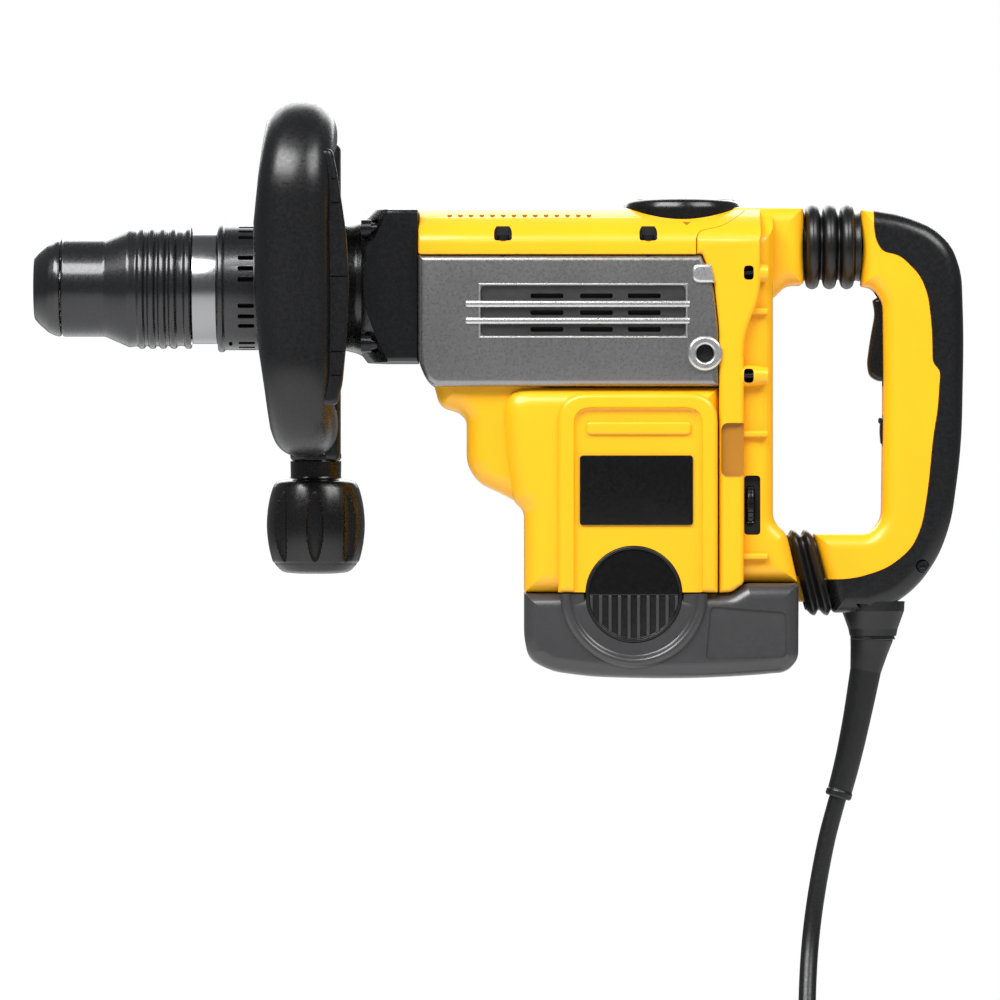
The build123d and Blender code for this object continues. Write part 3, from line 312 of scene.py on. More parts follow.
def casting(name, outline, low, high, material, edge_low=2.0, edge_high=2.0, axis="y", steps=6, grow=0.0):
    """A closed outline carried from low to high along an axis with rounded rims: near each end the ring lies
    inset*(1 - sin a) inwards and inset*(1 - cos a) along. Inwards, a corner moves by inset times its mitre
    (n1 + n2)/(1 + n1.n2), n1 and n2 being the outward normals of its edges. grow moves every ring out."""
    corner, radius = outline
    edge = np.roll(corner, -1, axis=0) - corner
    way_round = np.sign(np.sum(corner[:, 0] * np.roll(corner[:, 1], -1)
                               - np.roll(corner[:, 0], -1) * corner[:, 1]))
    normal = (way_round * np.stack([edge[:, 1], -edge[:, 0]], axis=1)
              / np.linalg.norm(edge, axis=1, keepdims=True))
    before = np.roll(normal, 1, axis=0)
    mitre = (before + normal) / (1 + np.sum(before * normal, axis=1, keepdims=True))
    convex = np.sign(before[:, 0] * normal[:, 1] - before[:, 1] * normal[:, 0]) * way_round
    turn = np.linspace(0, np.pi / 2, steps)
    inset = np.concatenate([edge_low * (1 - np.sin(turn)), edge_high * (1 - np.cos(turn))]) - grow
    level = np.concatenate([low + edge_low * (1 - np.cos(turn)), high - edge_high * (1 - np.sin(turn))])
    ring = np.stack([softened(corner - mitre * step, np.maximum(radius - step * convex, 0.05), True)
                     for step in inset])
    rows, count = ring.shape[:2]
    third = np.repeat(level[:, None], count, axis=1)
    order = {"x": (third, ring[..., 0], ring[..., 1]), "y": (ring[..., 0], third, ring[..., 1]),
             "z": (ring[..., 0], ring[..., 1], third)}[axis]
    points = np.stack(order, axis=-1).reshape(-1, 3)
    return solid(name, points, capped(rows, count), material)


def box_outline(a_low, a_high, b_low, b_high, radius=1.0):
    """A rectangle with rounded corners as a closed outline."""
    return shape([(a_low, b_low), (a_high, b_low), (a_high, b_high), (a_low, b_high)], radius)


def joined(*parts):
    """Makes several closed shells one object, named as the first, each keeping its finish."""
    base = parts[0]
    kinds = []
    whole = bmesh.new()
    for part in parts:
        kinds += [own for own in part.data.materials if own not in kinds]
        index = np.zeros(len(part.data.polygons), np.int32)
        part.data.polygons.foreach_get("material_index", index)
        place = np.array([kinds.index(own) for own in part.data.materials], np.int32)
        part.data.polygons.foreach_set("material_index", place[index])
        whole.from_mesh(part.data)
    for other in parts[1:]:
        bpy.data.objects.remove(other)
    base.data.materials.clear()
    for kind in kinds:
        base.data.materials.append(kind)
    whole.to_mesh(base.data)
    whole.free()
    base.data.set_sharp_from_angle(angle=np.radians(SHARP))
    return base


def carved(piece, *cutters, keep="DIFFERENCE", many=False):
    """Cuts other shells out of a piece, or keeps only what they share; cut faces take the cutter's finish.
    many is for a piece of several shells that run into each other."""
    for cutter in cutters:
        step = piece.modifiers.new("cut", "BOOLEAN")
        step.operation = keep
        step.solver = "EXACT"
        step.use_self = many
        step.material_mode = "TRANSFER"
        step.object = cutter
    view = bpy.context.evaluated_depsgraph_get()
    made = bpy.data.meshes.new_from_object(piece.evaluated_get(view))
    piece.modifiers.clear()
    made.name = piece.name
    old = piece.data
    piece.data = made
    bpy.data.meshes.remove(old)
    for cutter in cutters:
        bpy.data.objects.remove(cutter)
    tidy_mesh(piece, CUT_SHARP)
    return piece


def round_bar(name, start, end, radius, material, rim=0.3, sides=32):
    """A round bar with softened rims along the x, y or z axis."""
    start, end = np.asarray(start, float), np.asarray(end, float)
    line = int(np.argmax(np.abs(end - start)))
    low, high = sorted((start[line], end[line]))
    centre = start.copy()
    centre[line] = 0
    profile = [(low, 0.001), (low, radius - rim), (low + rim, radius), (high - rim, radius),
               (high, radius - rim), (high, 0.001)]
    return turned(name, profile, material, centre, "xyz"[line], sides, closed=False)


def punch(name, outline, low, high, material, axis="y", grow=0.0):
    """A block with keen rims that is cut out of a piece: casting() with rims of KEEN."""
    return casting(name, outline, low, high, material, KEEN, KEEN, axis, grow=grow)


def drill(name, start, end, radius, material, sides=32):
    """A round bar with keen rims that is cut out of a piece: round_bar() with rims of KEEN."""
    return round_bar(name, start, end, radius, material, KEEN, sides)


index_ring = turned("index_ring", softened([(-359.3, 21), (-359.3, 32.2), (-358.5, 33), (-356.4, 33),
                                            (-355.8, 32), (-338.6, 32), (-338.6, 21)], 0.6, closed=True),
                    collar_coat, sides=144)
SLOT_GROUPS = 8
slots = []
for group in range(SLOT_GROUPS):
    for slot_angle in (-10.3, 0, 10.3):
        cutter = punch("slot", box_outline(-348.6, -340.2, -1.25, 1.25, 1.0), 28.5, 36, painted_shade_inside, "z")
        around_ring = np.radians(90 - 16.2 + 360 / SLOT_GROUPS * group + slot_angle)
        cutter.data.transform(Matrix.Translation((0, 0, AXIS_Z * MM)) @ Matrix.Rotation(around_ring, 4, "X"))
        slots.append(cutter)
index_ring = carved(index_ring, joined(*slots), drill("hole", (-352.6, -16, 36), (-352.6, -8, 36), 1,
                                                      painted_shade_inside, 16))
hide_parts("index_collar")
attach(index_ring, "chuck")


def paint(material, *nodes):
    """Gives CAD pieces a finish in all their slots."""
    for node in nodes:
        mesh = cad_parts[node].data
        mesh.materials.clear()
        mesh.materials.append(material)


# Front housing: a black coated casting, a round neck and a square flange held by four socket bolts.
# The flange is a block cut back by a cone, with a pocket for each bolt and a bore for the works.
housing_coat = finish_material("black_casting", (0.004, 0.004, 0.0045), 0.24, grain=0.03, grain_size=0.7,
                               blotch=0.15, coat=0.3, bump=0.07)
flange = casting("front_casting", box_outline(-36.5, 36.5, AXIS_Z - 38.6, AXIS_Z + 38.6, 2.5), -295, -257.2,
                 housing_coat, 0.5, 0.5, "x", 4)
front_cone = turned("cone", [(-300, 17), (-256, 73.3), (-254, 73.3), (-254, 0.001), (-300, 0.001)],
                    housing_coat, sides=160, closed=False)
flange = carved(flange, front_cone, keep="INTERSECT")
flange = carved(flange, *[drill("pocket", (-296, y, AXIS_Z + z), (-273, y, AXIS_Z + z), 4.9, painted_shade_inside)
                          for y in (-29, 29) for z in (-29, 29)],
                drill("bore", (-300, 0, AXIS_Z), (-250, 0, AXIS_Z), 26, painted_shade_inside, 96))
neck = turned("neck", softened([(-336.6, 21.3), (-336.6, 30.6), (-335.8, 31.2), (-300, 31.2), (-296, 32),
                                (-289, 33.6), (-283, 36.4), (-270, 36.4), (-270, 21.3)], 1.2, closed=True),
              housing_coat)
front_casting = joined(flange, neck)
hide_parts("front_housing")
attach(front_casting, "housing")

# Gearcase: a grey coated alloy casting. Each side has a sunk field with nine slots between a thin rim and two
# long round-ended ribs, a ring boss with a deep socket, and a half-round boss near the top.
alloy = finish_material("grey_coat", (0.29, 0.285, 0.285), 0.3, grain=0.03, grain_size=0.45, metal=0.85,
                        blotch=0.06, bump=0.2)
# Painted shade: the sunk field is a darker copy of the grey coat, standing in for the shade in the recess.
painted_shade_alloy = finish_material("field_painted_shade", (0.1, 0.098, 0.098), 0.35, grain=0.04, grain_size=0.45,
                               metal=0.8, blotch=0.1, bump=0.25)
# Painted highlight: the field's rim, the ribs and the bosses are a lighter copy of the grey coat, standing in
# for the highlights on their rounded edges.
painted_highlight_alloy = finish_material("alloy_painted_highlight", (0.66, 0.655, 0.65), 0.3, grain=0.03, grain_size=0.4,
                               metal=0.9, blotch=0.06, bump=0.15)
SOCKET_X = -112.2
SOCKET_Z = 30.6
CASE_OUTLINE = shape([(-257, 80.4), (-113.9, 80.4), (-107.8, 66.3), (-105.2, 43.4), (-105.2, 14),
                      (-249, 14), (-253, 17.5), (-257, 26.5)], [1, 1, 4, 4, 1, 6, 6, 6])
case = casting("alloy_gearcase", CASE_OUTLINE, -43, 43, alloy, 3.2, 3.2)


def flank(side, inner, outer):
    """Low and high y of what stands between two distances from the middle plane, on side -1 or 1."""
    return sorted((side * inner, side * outer))


cutters = []
for side in (-1, 1):
    low, high = flank(side, 41.2, 47)
    cutters.append(punch("field", box_outline(-225.5, -122, 39.5, 65, 3), low, high, painted_shade_alloy))
case = carved(case, *cutters)
cutters = []
for side in (-1, 1):
    low, high = flank(side, 38, 47)
    for column in (-192, -167, -142.8):
        for level in (59.7, 51.2, 42.8):
            outline = box_outline(column - 8.3, column + 8.3, level - 1.25, level + 1.25, 1.1)
            cutters.append(punch("slot", outline, low, high, painted_shade_inside))
    low, high = flank(side, 40, 47)
    cutters.append(drill("socket", (SOCKET_X, low, SOCKET_Z), (SOCKET_X, high, SOCKET_Z), 4.5, painted_shade_inside))
case = carved(case, *cutters, punch("hollow", box_outline(-252, -112, 18.6, 85, 2), -37, 37, painted_shade_inside),
              drill("bore", (-262, 0, AXIS_Z), (-248, 0, AXIS_Z), 26, painted_shade_inside, 96))
FIELD_RIM = ((-226.5, -121, 38.4, 39.4), (-226.5, -121, 65.1, 66.1), (-226.6, -225.6, 38.4, 66.1),
             (-121.9, -120.9, 38.4, 66.1))
extras = []
for side in (-1, 1):
    low, high = flank(side, 40.5, 44.2)
    for level in (55.6, 47.1):
        extras.append(casting("rib", box_outline(-233.5, -119.5, level - 1.7, level + 1.7, 1.7), low, high,
                              painted_highlight_alloy, 1.2, 1.2))
    for edges in FIELD_RIM:
        extras.append(casting("rim", box_outline(*edges, 0.4), *flank(side, 42, 43.5), painted_highlight_alloy, 0.35,
                              0.35))
    ring_along = softened([(42, 4.4), (44.2, 4.4), (45, 5.2), (45, 7.8), (44.2, 8.8), (42, 8.8)], 0.5,
                          closed=True)
    ring_along = ring_along * np.array([side, 1])
    extras.append(turned("boss", ring_along, painted_highlight_alloy, (SOCKET_X, 0, SOCKET_Z), "y", 64))
    extras.append(casting("half_boss", shape([(-118.8, 66.2), (-107, 66.2), (-109, 75.8), (-118.8, 75.8)],
                                             [4.6, 1, 1, 4.6]), *flank(side, 40, 44.6), painted_highlight_alloy, 1.6,
                          1.6))
case = joined(case, *extras)
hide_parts("gearcase")
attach(case, "housing")

# Slot shade sheets: a near-black sheet behind the gearcase's slots on each side, painted shade that makes
# them read as deep air slots.
shade_sheets = joined(*[casting("slot_shade_sheet", box_outline(-228, -118, 36, 68, 2), *flank(side, 37, 38.4),
                          painted_shade_inside, 0.3, 0.3) for side in (-1, 1)])
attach(shade_sheets, "housing")

# Top cover: yellow moulded lid, hollow below. Its section is a low gable with large round shoulders. The
# selector's seat, four screw pockets, a row of dots each side and two small notches are cut into it.
yellow = finish_material("yellow_moulding", (0.93, 0.455, 0.006), 0.34, grain=0.035, grain_size=0.55,
                         blotch=0.025, coat=0.15, bump=0.2)
# Painted shade: a darker, browner copy of the yellow on the cut faces of the lid's dots and notches and of
# the rear housing's side hollows.
painted_shade_yellow = finish_material("yellow_painted_shade", (0.40, 0.16, 0.003), 0.5, grain=0.035, grain_size=0.55,
                               blotch=0.05)
SELECTOR_X = -123.2


def gable(half, foot, shoulder, knee, ridge, foot_radius):
    """A cross-section (y, z): straight flanks from foot to shoulder, a slope to the knee, and a gentler one
    to a flat ridge 26 mm wide. The left half mirrors the right."""
    right = [(half, foot), (half, shoulder), knee, (13, ridge)]
    return shape([(-half, foot)] + right + [(-y, z) for y, z in right[:0:-1]], [foot_radius] * 2 + [9] * 6)


LID_SECTION = gable(43, 80.7, 90, (31, 99.2), 105.6, 0.8)
REAR_LINE = shape([(-116.8, 60), (-116.8, 89.3), (-114.8, 92.8), (-103, 95.4), (-93.8, 101.5), (-89, 108),
                   (-20, 120), (-20, 60)], [0.5, 2, 3, 3, 2, 1, 1, 1])
lid = casting("yellow_lid", LID_SECTION, -257, -86, yellow, 1.5, 0.5, "x")
lid = carved(lid, punch("rear_line", REAR_LINE, -60, 60, yellow),
             drill("seat", (SELECTOR_X, 0, 96), (SELECTOR_X, 0, 120), 30.6, yellow, 96))
cutters = []
for side in (-1, 1):
    for x in (-214.2, -140.8):
        cutters.append(punch("pocket", shape([(x - 4.5, 87.6), (x + 4.5, 87.6), (x + 4.5, 93), (x + 2, 97),
                                              (x - 2, 97), (x - 4.5, 93)], 1.5), *flank(side, 36.4, 50),
                             painted_shade_inside))
    cutters.append(punch("notch", shape([(-125, 98.6), (-117.6, 98.6), (-121.3, 95.4)], 0.5),
                         *flank(side, 33, 50), painted_shade_yellow))
    for dot in range(14):
        x = -241.2 + 5.43 * dot
        cutters.append(drill("dot", (x, side * 25, 100.9), (x, side * 45, 100.9), 1.25, painted_shade_yellow, 12))
lid = carved(lid, *cutters, punch("hollow", box_outline(-252, -120, 75, 93, 2), -35, 35, yellow),
             drill("bore", (-262, 0, AXIS_Z), (-250, 0, AXIS_Z), 21, yellow, 96))
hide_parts("top_cover")
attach(lid, "housing")

# Selector: round black knob of hard glossy plastic, let into the lid. A finger bar lies across it and is
# pointed at its rear end.
black_gloss = finish_material("knob_plastic", (0.004, 0.0037, 0.0037), 0.24, grain=0.02, grain_size=0.5,
                              blotch=0.1, bump=0.06)
dial = turned("round_selector", softened([(97.2, 0.001), (97.2, 29.6), (105, 29.8), (108.2, 28.6),
                                          (109.4, 26), (108.4, 24), (107, 22.5), (107, 0.001)], 1.2),
              black_gloss, (SELECTOR_X, 0, 0), "z", 120, closed=False)
bar = casting("finger_bar", shape([(-147, -5.5), (-100, -5.5), (-94.6, 0), (-100, 5.5), (-147, 5.5)], 2.5),
              104, 109.9, black_gloss, 0.3, 1.8, "z")
dial = joined(dial, bar)
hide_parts("selector_dial")
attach(dial, "selector")

# Motor housing: yellow moulding around the upright motor, with a stepped bulge in front. Each side has an
# arch-shaped raised panel, an embossed bar, a black plate and the round air intake at its foot.
INTAKE_X = -148.1
INTAKE_Z = -91


def intake(side, material, inner=39.5):
    """A drill for the round air intake on side -1 or 1, from a distance off the middle plane outwards."""
    return drill("intake", (INTAKE_X, side * inner, INTAKE_Z), (INTAKE_X, side * 52, INTAKE_Z), 24.6,
                 material, 96)


MOTOR_OUTLINE = shape([(-215, 13.6), (-212.6, -20), (-209, -44), (-203.4, -49), (-203.4, -90.2),
                       (-105.2, -90.2), (-105.2, 13.6)], [14, 8, 5, 6, 1, 1, 1])
BULGE_OUTLINE = shape([(-251.8, 24), (-246.2, 4), (-236.5, 1.2), (-232.6, -3), (-232.6, -25.5),
                       (-226.5, -35), (-215.7, -39.8), (-206, -45), (-190, -50), (-190, 24)],
                      [1, 4, 4, 4, 8, 8, 6, 6, 1, 1])
motor = casting("yellow_motor_housing", MOTOR_OUTLINE, -43, 43, yellow, 10, 10, steps=10)
bulge = casting("bulge", BULGE_OUTLINE, -36, 36, yellow, 9.5, 9.5, steps=10)
ARCH = shape([(-186.4, -90), (-105.8, -90), (-105.8, 10.6), (-186.4, 10.6)], [0.5, 0.5, 15, 15])
ARCH_FIELD = shape([(-178.6, -95), (-113.4, -95), (-113.4, 3.6), (-178.6, 3.6)], [0.5, 0.5, 9, 9])
panels = []
for side in (-1, 1):
    panel = casting("panel", ARCH, *flank(side, 40, 46), yellow, 2.8, 2.8, steps=8)
    field = casting("field", ARCH_FIELD, *flank(side, 43.4, 50), yellow, *(2.4, 0.01)[::side], steps=8)
    panels.append(carved(panel, field, intake(side, yellow, 39)))
    panels.append(casting("bar", box_outline(-171.9, -119.3, -10.4, -4, 2.2), *flank(side, 42, 45), yellow,
                          1.1, 1.1))
motor = carved(motor, *[intake(side, yellow) for side in (-1, 1)])
motor = joined(motor, bulge, *panels)
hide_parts("motor_housing")
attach(motor, "housing")

# Plain side plates: thin black glossy plates, one let into the panel on each side of the motor housing. They
# carry no lettering.
plate_gloss = finish_material("plate_gloss", (0.002, 0.0018, 0.0018), 0.2, grain=0.01, grain_size=0.6,
                              blotch=0.1, bump=0.05)
plates = joined(*[casting("blank_plates", box_outline(-175.4, -118.3, -56.1, -20.9, 1.6),
                          *flank(side, 42, 44.5), plate_gloss, 0.35, 0.35) for side in (-1, 1)])
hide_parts("name_plates")
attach(plates, "housing")

# Bottom cover: black moulded tub under the motor with a crowned floor. The round intake has upright slats in
# its lower half, and two fine ridges run round it.
tub_black = finish_material("tub_plastic", (0.04, 0.0385, 0.04), 0.33, grain=0.03, coat=0.3, grain_size=0.6,
                            blotch=0.1, bump=0.3)
# Painted shade: a near-black copy of the tub's plastic for the dish at the back of the round intake.
painted_shade_tub = finish_material("tub_painted_shade", (0.003, 0.003, 0.003), 0.35, grain=0.04, grain_size=0.6,
                            blotch=0.1)
TUB_OUTLINE = shape([(-203.4, -90.4), (-105.5, -90.4), (-98.6, -90), (-91, -85.4), (-64.6, -85.4),
                     (-64.8, -124), (-71, -130.6), (-93, -132.4), (-119, -133.6), (-144, -133.6),
                     (-170, -132.8), (-190, -130), (-201, -124), (-203.4, -114)],
                    [1, 3, 3, 2, 2, 6, 8, 20, 20, 20, 20, 8, 6, 6])
tub = casting("black_tub", TUB_OUTLINE, -43, 43, tub_black, 8, 8, steps=9)
cutters = [intake(side, painted_shade_inside) for side in (-1, 1)]
cutters += [punch("sunk", shape([(-109.5, -97), (-71, -100), (-71, -123), (-112, -124)], 3),
                  *flank(side, 42, 50), tub_black) for side in (-1, 1)]
cutters += [round_bar("foot", (x, side * 33, -140), (x, side * 33, -127), 3.6, tub_black)
            for side in (-1, 1) for x in (-192, -78)]
tub = carved(tub, *cutters)
shells = []
for side in (-1, 1):
    for slat in range(10):
        x = INTAKE_X - 21.6 + 4.8 * slat
        foot = INTAKE_Z - np.sqrt(24.4 ** 2 - (x - INTAKE_X) ** 2)
        shells.append(casting("slat", box_outline(x - 0.9, x + 0.9, foot - 0.5, -91.5, 0.7),
                              *flank(side, 39.6, 42.6), tub_black, 0.5, 0.5))
    dish = softened([(39.7, 0.001), (39.7, 23.4), (40.4, 24.5), (43.0, 24.5), (43.6, 24.0), (43.6, 22.9),
                     (42, 22.4), (40.6, 0.001)], 0.4) * np.array([side, 1])
    dish[-1] = (40.6 * side, 0.001)
    shells.append(turned("dish", dish, painted_shade_tub, (INTAKE_X, 0, INTAKE_Z), "y", 96, closed=False))
    # Painted shade: a near-black glossy half disc fills the upper half of each intake, standing in for the
    # shade of the opening there.
    shells.append(casting("intake_shade_half", shape([(-171.4, -91.6)]
                                              + [(INTAKE_X + 23.3 * np.cos(a), -91.6 + 23.3 * np.sin(a))
                                                 for a in np.linspace(np.pi, 0, 25)[1:]], 0.2),
                          *flank(side, 40, 42.4), plate_gloss, 0.6, 0.6))
    rim = softened([(40, 24.8), (42.2, 24.8), (42.8, 31), (45.2, 33), (45.2, 35.4), (43, 37.4), (40, 37.4)],
                   1.4, closed=True) * np.array([side, 1])
    collar = turned("collar", rim, tub_black, (INTAKE_X, 0, INTAKE_Z), "y", 128)
    shells.append(carved(collar, punch("above", box_outline(-200, -100, -90.7, -40, 1),
                                       *flank(side, 30, 60), tub_black)))
tub = joined(tub, *shells)
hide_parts("bottom_cover")
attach(tub, "housing")

# Rear housing: yellow moulding behind the motor: a wide band, a narrower back with screw bosses, the arm to
# the bellows and the slot of the thumb wheel.
BELLOWS_Z = 85.7
BAND_OUTLINE = shape([(-116.6, 80.8), (-116.6, 89.2), (-114.6, 92.6), (-103, 95.2), (-93.8, 101.2),
                      (-89, 105.4), (-84, 105.4), (-84, 60), (-92.5, 40), (-92.5, -30), (-92.5, -85.4),
                      (-98.6, -89.8), (-105, -90.2), (-105, 43.4), (-107.5, 66.3), (-113.6, 80.8)],
                     [0.5, 2, 3, 3, 2, 1, 3, 8, 10, 4, 2, 2, 0.5, 4, 4, 0.5])
BACK_OUTLINE = shape([(-100, 104.5), (-77.4, 104.5), (-77.4, -54), (-70.4, -60.6), (-64.8, -85.2),
                      (-100, -85.2)], [1, 2, 6, 4, 1, 1])
ARM_OUTLINE = shape([(-100, 105.4), (-61.4, 105.4), (-61.4, 66), (-70, 66), (-77.6, 58), (-100, 50)],
                    [1, 2, 2, 6, 6, 1])
band = casting("yellow_rear_housing", BAND_OUTLINE, -43, 43, yellow, 2.5, 2.5)
band = carved(band, punch("lid_shape", gable(43.2, -95, 90, (31, 99.2), 105.6, 1), -130, -50, yellow, "x"),
              keep="INTERSECT")
back = casting("back", BACK_OUTLINE, -35, 35, yellow, 8, 8)
back = carved(back, punch("lid_shape", gable(35.2, -95, 88, (26, 97), 105, 1), -130, -50, yellow, "x"),
              keep="INTERSECT")
arm = casting("arm", ARM_OUTLINE, -20.5, 20.5, yellow, 8, 8)
parts = [back, arm]
for side in (-1, 1):
    for level in (71.4, 19.4):
        profile = softened([(-100, 0.001), (-100, 5.4), (-91, 5.4), (-80, 4.2), (-80, 2.6), (-89, 2.6),
                            (-89, 0.001)], 0.8)
        parts.append(turned("boss", profile, yellow, (0, side * 37.6, level), "x", 40, closed=False))
    for level in (52, -10, -72):
        parts.append(casting("web", box_outline(-96, -80, level - 1.6, level + 1.6, 1.2),
                             *flank(side, 30, 38.5), yellow, 1.2, 1.2))
rear = joined(band, *parts)
hollows = [punch("screw_hollow", box_outline(-92.6, -87.6, level - 3.6, level + 3.6, 2),
                 *flank(side, 36.5, 50), painted_shade_inside) for side in (-1, 1) for level in (71.4, 19.4)]
hollows += [casting("side_hollow", shape([(-104, -32), (-93, -32), (-88.4, -14), (-88.4, -4.4),
                                          (-104, -4.4)], [4, 2, 3, 2, 4]), *flank(side, 40.5, 50),
                    painted_shade_yellow, *(0.8, 0.01)[::side]) for side in (-1, 1)]
wheel_window = punch("window", shape([(-92.2, -61), (-84, -61), (-84, -31), (-92.2, -31)], 2), -45, -31.5,
                     painted_shade_inside)
arm_seat = round_bar("arm_seat", (-70, 0, BELLOWS_Z), (-58, 0, BELLOWS_Z), 12.4, yellow)
dial_seat = drill("seat", (SELECTOR_X, 0, 96), (SELECTOR_X, 0, 120), 30.6, yellow, 96)
boot_seat = punch("boot_seat", box_outline(-69.5, -50, -99, -84.9, 1), -60, 60, yellow)
rear = carved(rear, wheel_window, arm_seat, dial_seat, boot_seat, *hollows, many=True)
lug = casting("lug", shape([(-70, -95), (-58.6, -95.5), (-52.4, -89), (-58.6, -82.5), (-70, -82)], 5),
              -5, 5, yellow, 1, 1)
rear = joined(rear, lug)
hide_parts("rear_housing")
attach(rear, "housing")

# Thumb wheel: black moulded wheel on an axle along the tool, with 30 ribs round its rim. It looks out of a
# window in the left side and sets the speed.
def ribbed(along, angle):
    """Radius factor: 0.95 in the grooves, where the cosine of 30 times the angle is over -0.2, and else 1."""
    return 1 - 0.05 * (np.cos(30 * angle) > -0.2) * np.ones_like(along)


wheel = turned("ribbed_wheel", softened([(-91.2, 2.1), (-91.2, 12.6), (-90.4, 13.9), (-87.6, 13.9),
                                         (-86.8, 12.6), (-86.8, 2.1)], 0.5, closed=True), black_gloss,
               (0, -22.5, -46), "x", 240, wave=ribbed)
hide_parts("speed_dial")
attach(wheel, "speed_wheel")

# Rear handle, hard part: yellow moulded D, full section at the front and inside of the bow. The whole D is
# one cushion-edged block; the soft shell and the yellow part are the two sides of one parting line.
HANDLE_OUTLINE = shape([(-31.8, 104.6), (-12, 101.7), (3.6, 95.6), (13.8, 86.2), (18.9, 72), (20, 40),
                        (18.9, -16), (13.8, -53.6), (7.5, -71.5), (-2.5, -86), (-14, -95.5), (-28, -100.2),
                        (-45.7, -100.5), (-56.1, -60.4), (-27.5, -60.4), (-21.2, -53), (-20.4, 10),
                        (-20.9, 57), (-26, 64.4), (-31.8, 65.6)],
                       [1, 20, 20, 20, 20, 30, 40, 20, 20, 20, 20, 5, 1, 1, 6, 6, 20, 6, 4, 1])
PARTING = shape([(-25.5, 140), (-25.5, 95), (-24.5, 88.7), (-21.4, 83.1), (-12.2, 81.1), (-2, 70.9),
                 (2, 60.7), (4, 44), (4.3, 26.5), (8.2, 22.4), (6.9, 2.5), (4.6, -10.7), (2, -37.7),
                 (-1, -56.1), (-6.1, -67.8), (-18.1, -78), (-36.2, -83.9), (-80, -83.9), (-80, 140)],
                [1, 3, 4, 5, 8, 8, 12, 10, 4, 4, 10, 12, 16, 12, 10, 12, 12, 1, 1])
hard = casting("yellow_handle", HANDLE_OUTLINE, -17, 17, yellow, 8, 8, steps=9)
hard = carved(hard, punch("parting", PARTING, -30, 30, yellow, grow=-0.25), keep="INTERSECT")
hard = carved(hard, punch("trigger_slot", box_outline(-40, -9, 14.5, 62.5, 2), -6.5, 6.5, painted_shade_inside),
              punch("button_slot", box_outline(-40, -9, -15.9, -0.4, 1), -4.3, 4.3, painted_shade_inside),
              drill("spring_seat", (-40, 0, BELLOWS_Z), (-21, 0, BELLOWS_Z), 12.6, painted_shade_inside, 48))
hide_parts("handle_frame")
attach(hard, "rear_handle")

# Rear handle, soft shell: black satin elastomer over the back and the lower arm, standing a hair prouder. It
# follows the hard part's outline and meets it at the parting line.
soft_touch = finish_material("soft_touch", (0.0045, 0.0045, 0.005), 0.3, grain=0.03, grain_size=0.6,
                             blotch=0.12, bump=0.12)
shell = casting("soft_shell", HANDLE_OUTLINE, -17.3, 17.3, soft_touch, 8, 8, steps=9, grow=0.3)
shell = carved(shell, punch("parting", PARTING, -30, 30, yellow))
shell = carved(shell, *[round_bar("screw_well", (-1, side * 13.6, -77), (-1, side * 20, -77), 3.4,
                                  painted_shade_inside) for side in (-1, 1)],
               *[punch("corner_well", shape([(-35, -96), (-28, -96.4), (-31, -101)], 1),
                       *flank(side, 9, 20), painted_shade_inside) for side in (-1, 1)],
               drill("spring_seat", (-40, 0, BELLOWS_Z), (-21, 0, BELLOWS_Z), 12.6, painted_shade_inside, 48))
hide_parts("handle_cover")
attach(shell, "rear_handle")

# Handle screws: blackened steel heads sunk in the lower back corner, one from each side. Each is turned, with
# a round recess for the key.
black_oxide = finish_material("black_oxide", (0.03, 0.03, 0.032), 0.3, grain=0.02, grain_size=0.3,
                              metal=0.8, blotch=0.1)
heads = []
for side in (-1, 1):
    head = softened([(13.7, 0.001), (13.7, 3), (15.6, 3), (16, 2.6), (16, 1.4), (14.6, 1.2), (14.6, 0.001)],
                    0.25)
    heads.append(turned("handle_screw_heads", head * np.array([side, 1]), black_oxide, (-1, 0, -77), "y",
                        40, closed=False))
heads = joined(*heads)
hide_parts("handle_screws")
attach(heads, "rear_handle")

# Trigger: black paddle with a hooked top and a belly, and its lock rocker with a small nub below it. Both are
# hard glossy mouldings that stand in slots in the handle.
trigger = casting("paddle_trigger", shape([(-25.8, 58.6), (-24.5, 51.5), (-27, 38), (-28.6, 26),
                                           (-27.4, 19.5), (-22.4, 16.8), (-15, 18), (-13, 30), (-12.6, 56),
                                           (-16, 59.2), (-22, 60.4)], [1, 3, 8, 5, 3, 3, 2, 4, 3, 2, 2]),
                  -6, 6, black_gloss, 2.4, 2.4, steps=7)
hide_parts("trigger")
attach(trigger, "trigger")
rocker = casting("lock_rocker", shape([(-21.6, -15.2), (-14.4, -15.4), (-14.4, -0.9), (-21.6, -1.2),
                                       (-22.2, -8)], [1.4, 1, 1, 1.4, 6]), -4, 4, black_gloss, 1.1, 1.1)
rocker = joined(rocker, round_bar("nub", (-22.8, 0, -2.9), (-20, 0, -2.9), 1.5, black_gloss, 0.5, 24))
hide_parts("lock_button")
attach(rocker, "lock_button")

# Upper bellows: black rubber with three round ribs, between the housing's arm and the handle, which floats
# towards the housing. It is a turned shape.
bellows_rubber = finish_material("bellows_rubber", (0.003, 0.003, 0.0034), 0.34, grain=0.04, grain_size=0.5,
                                 blotch=0.12, bump=0.25)
ribs = [(-61, 18)]
for middle in (-56.6, -47.8, -38.9):
    ribs += [(middle - 3.9, 16.8), (middle - 2.9, 20.6), (middle, 22), (middle + 2.9, 20.6),
             (middle + 3.9, 16.8)]
ribs += [(-32, 18), (-32, 14), (-61, 14)]
bellows = turned("ribbed_bellows", softened(ribs, 1.6, closed=True), bellows_rubber, (0, 0, BELLOWS_Z), "x",
                 96)
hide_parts("upper_bellows")
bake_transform(bellows)

# Lower boot: slanted black rubber sleeve between the housing's foot and the handle's lower arm. It covers the
# pivot.
across = softened([(-17.4, -20.4), (17.4, -20.4), (17.4, 20.4), (-17.4, 20.4)], 9, closed=True)
outward = across / np.linalg.norm(across, axis=1, keepdims=True)
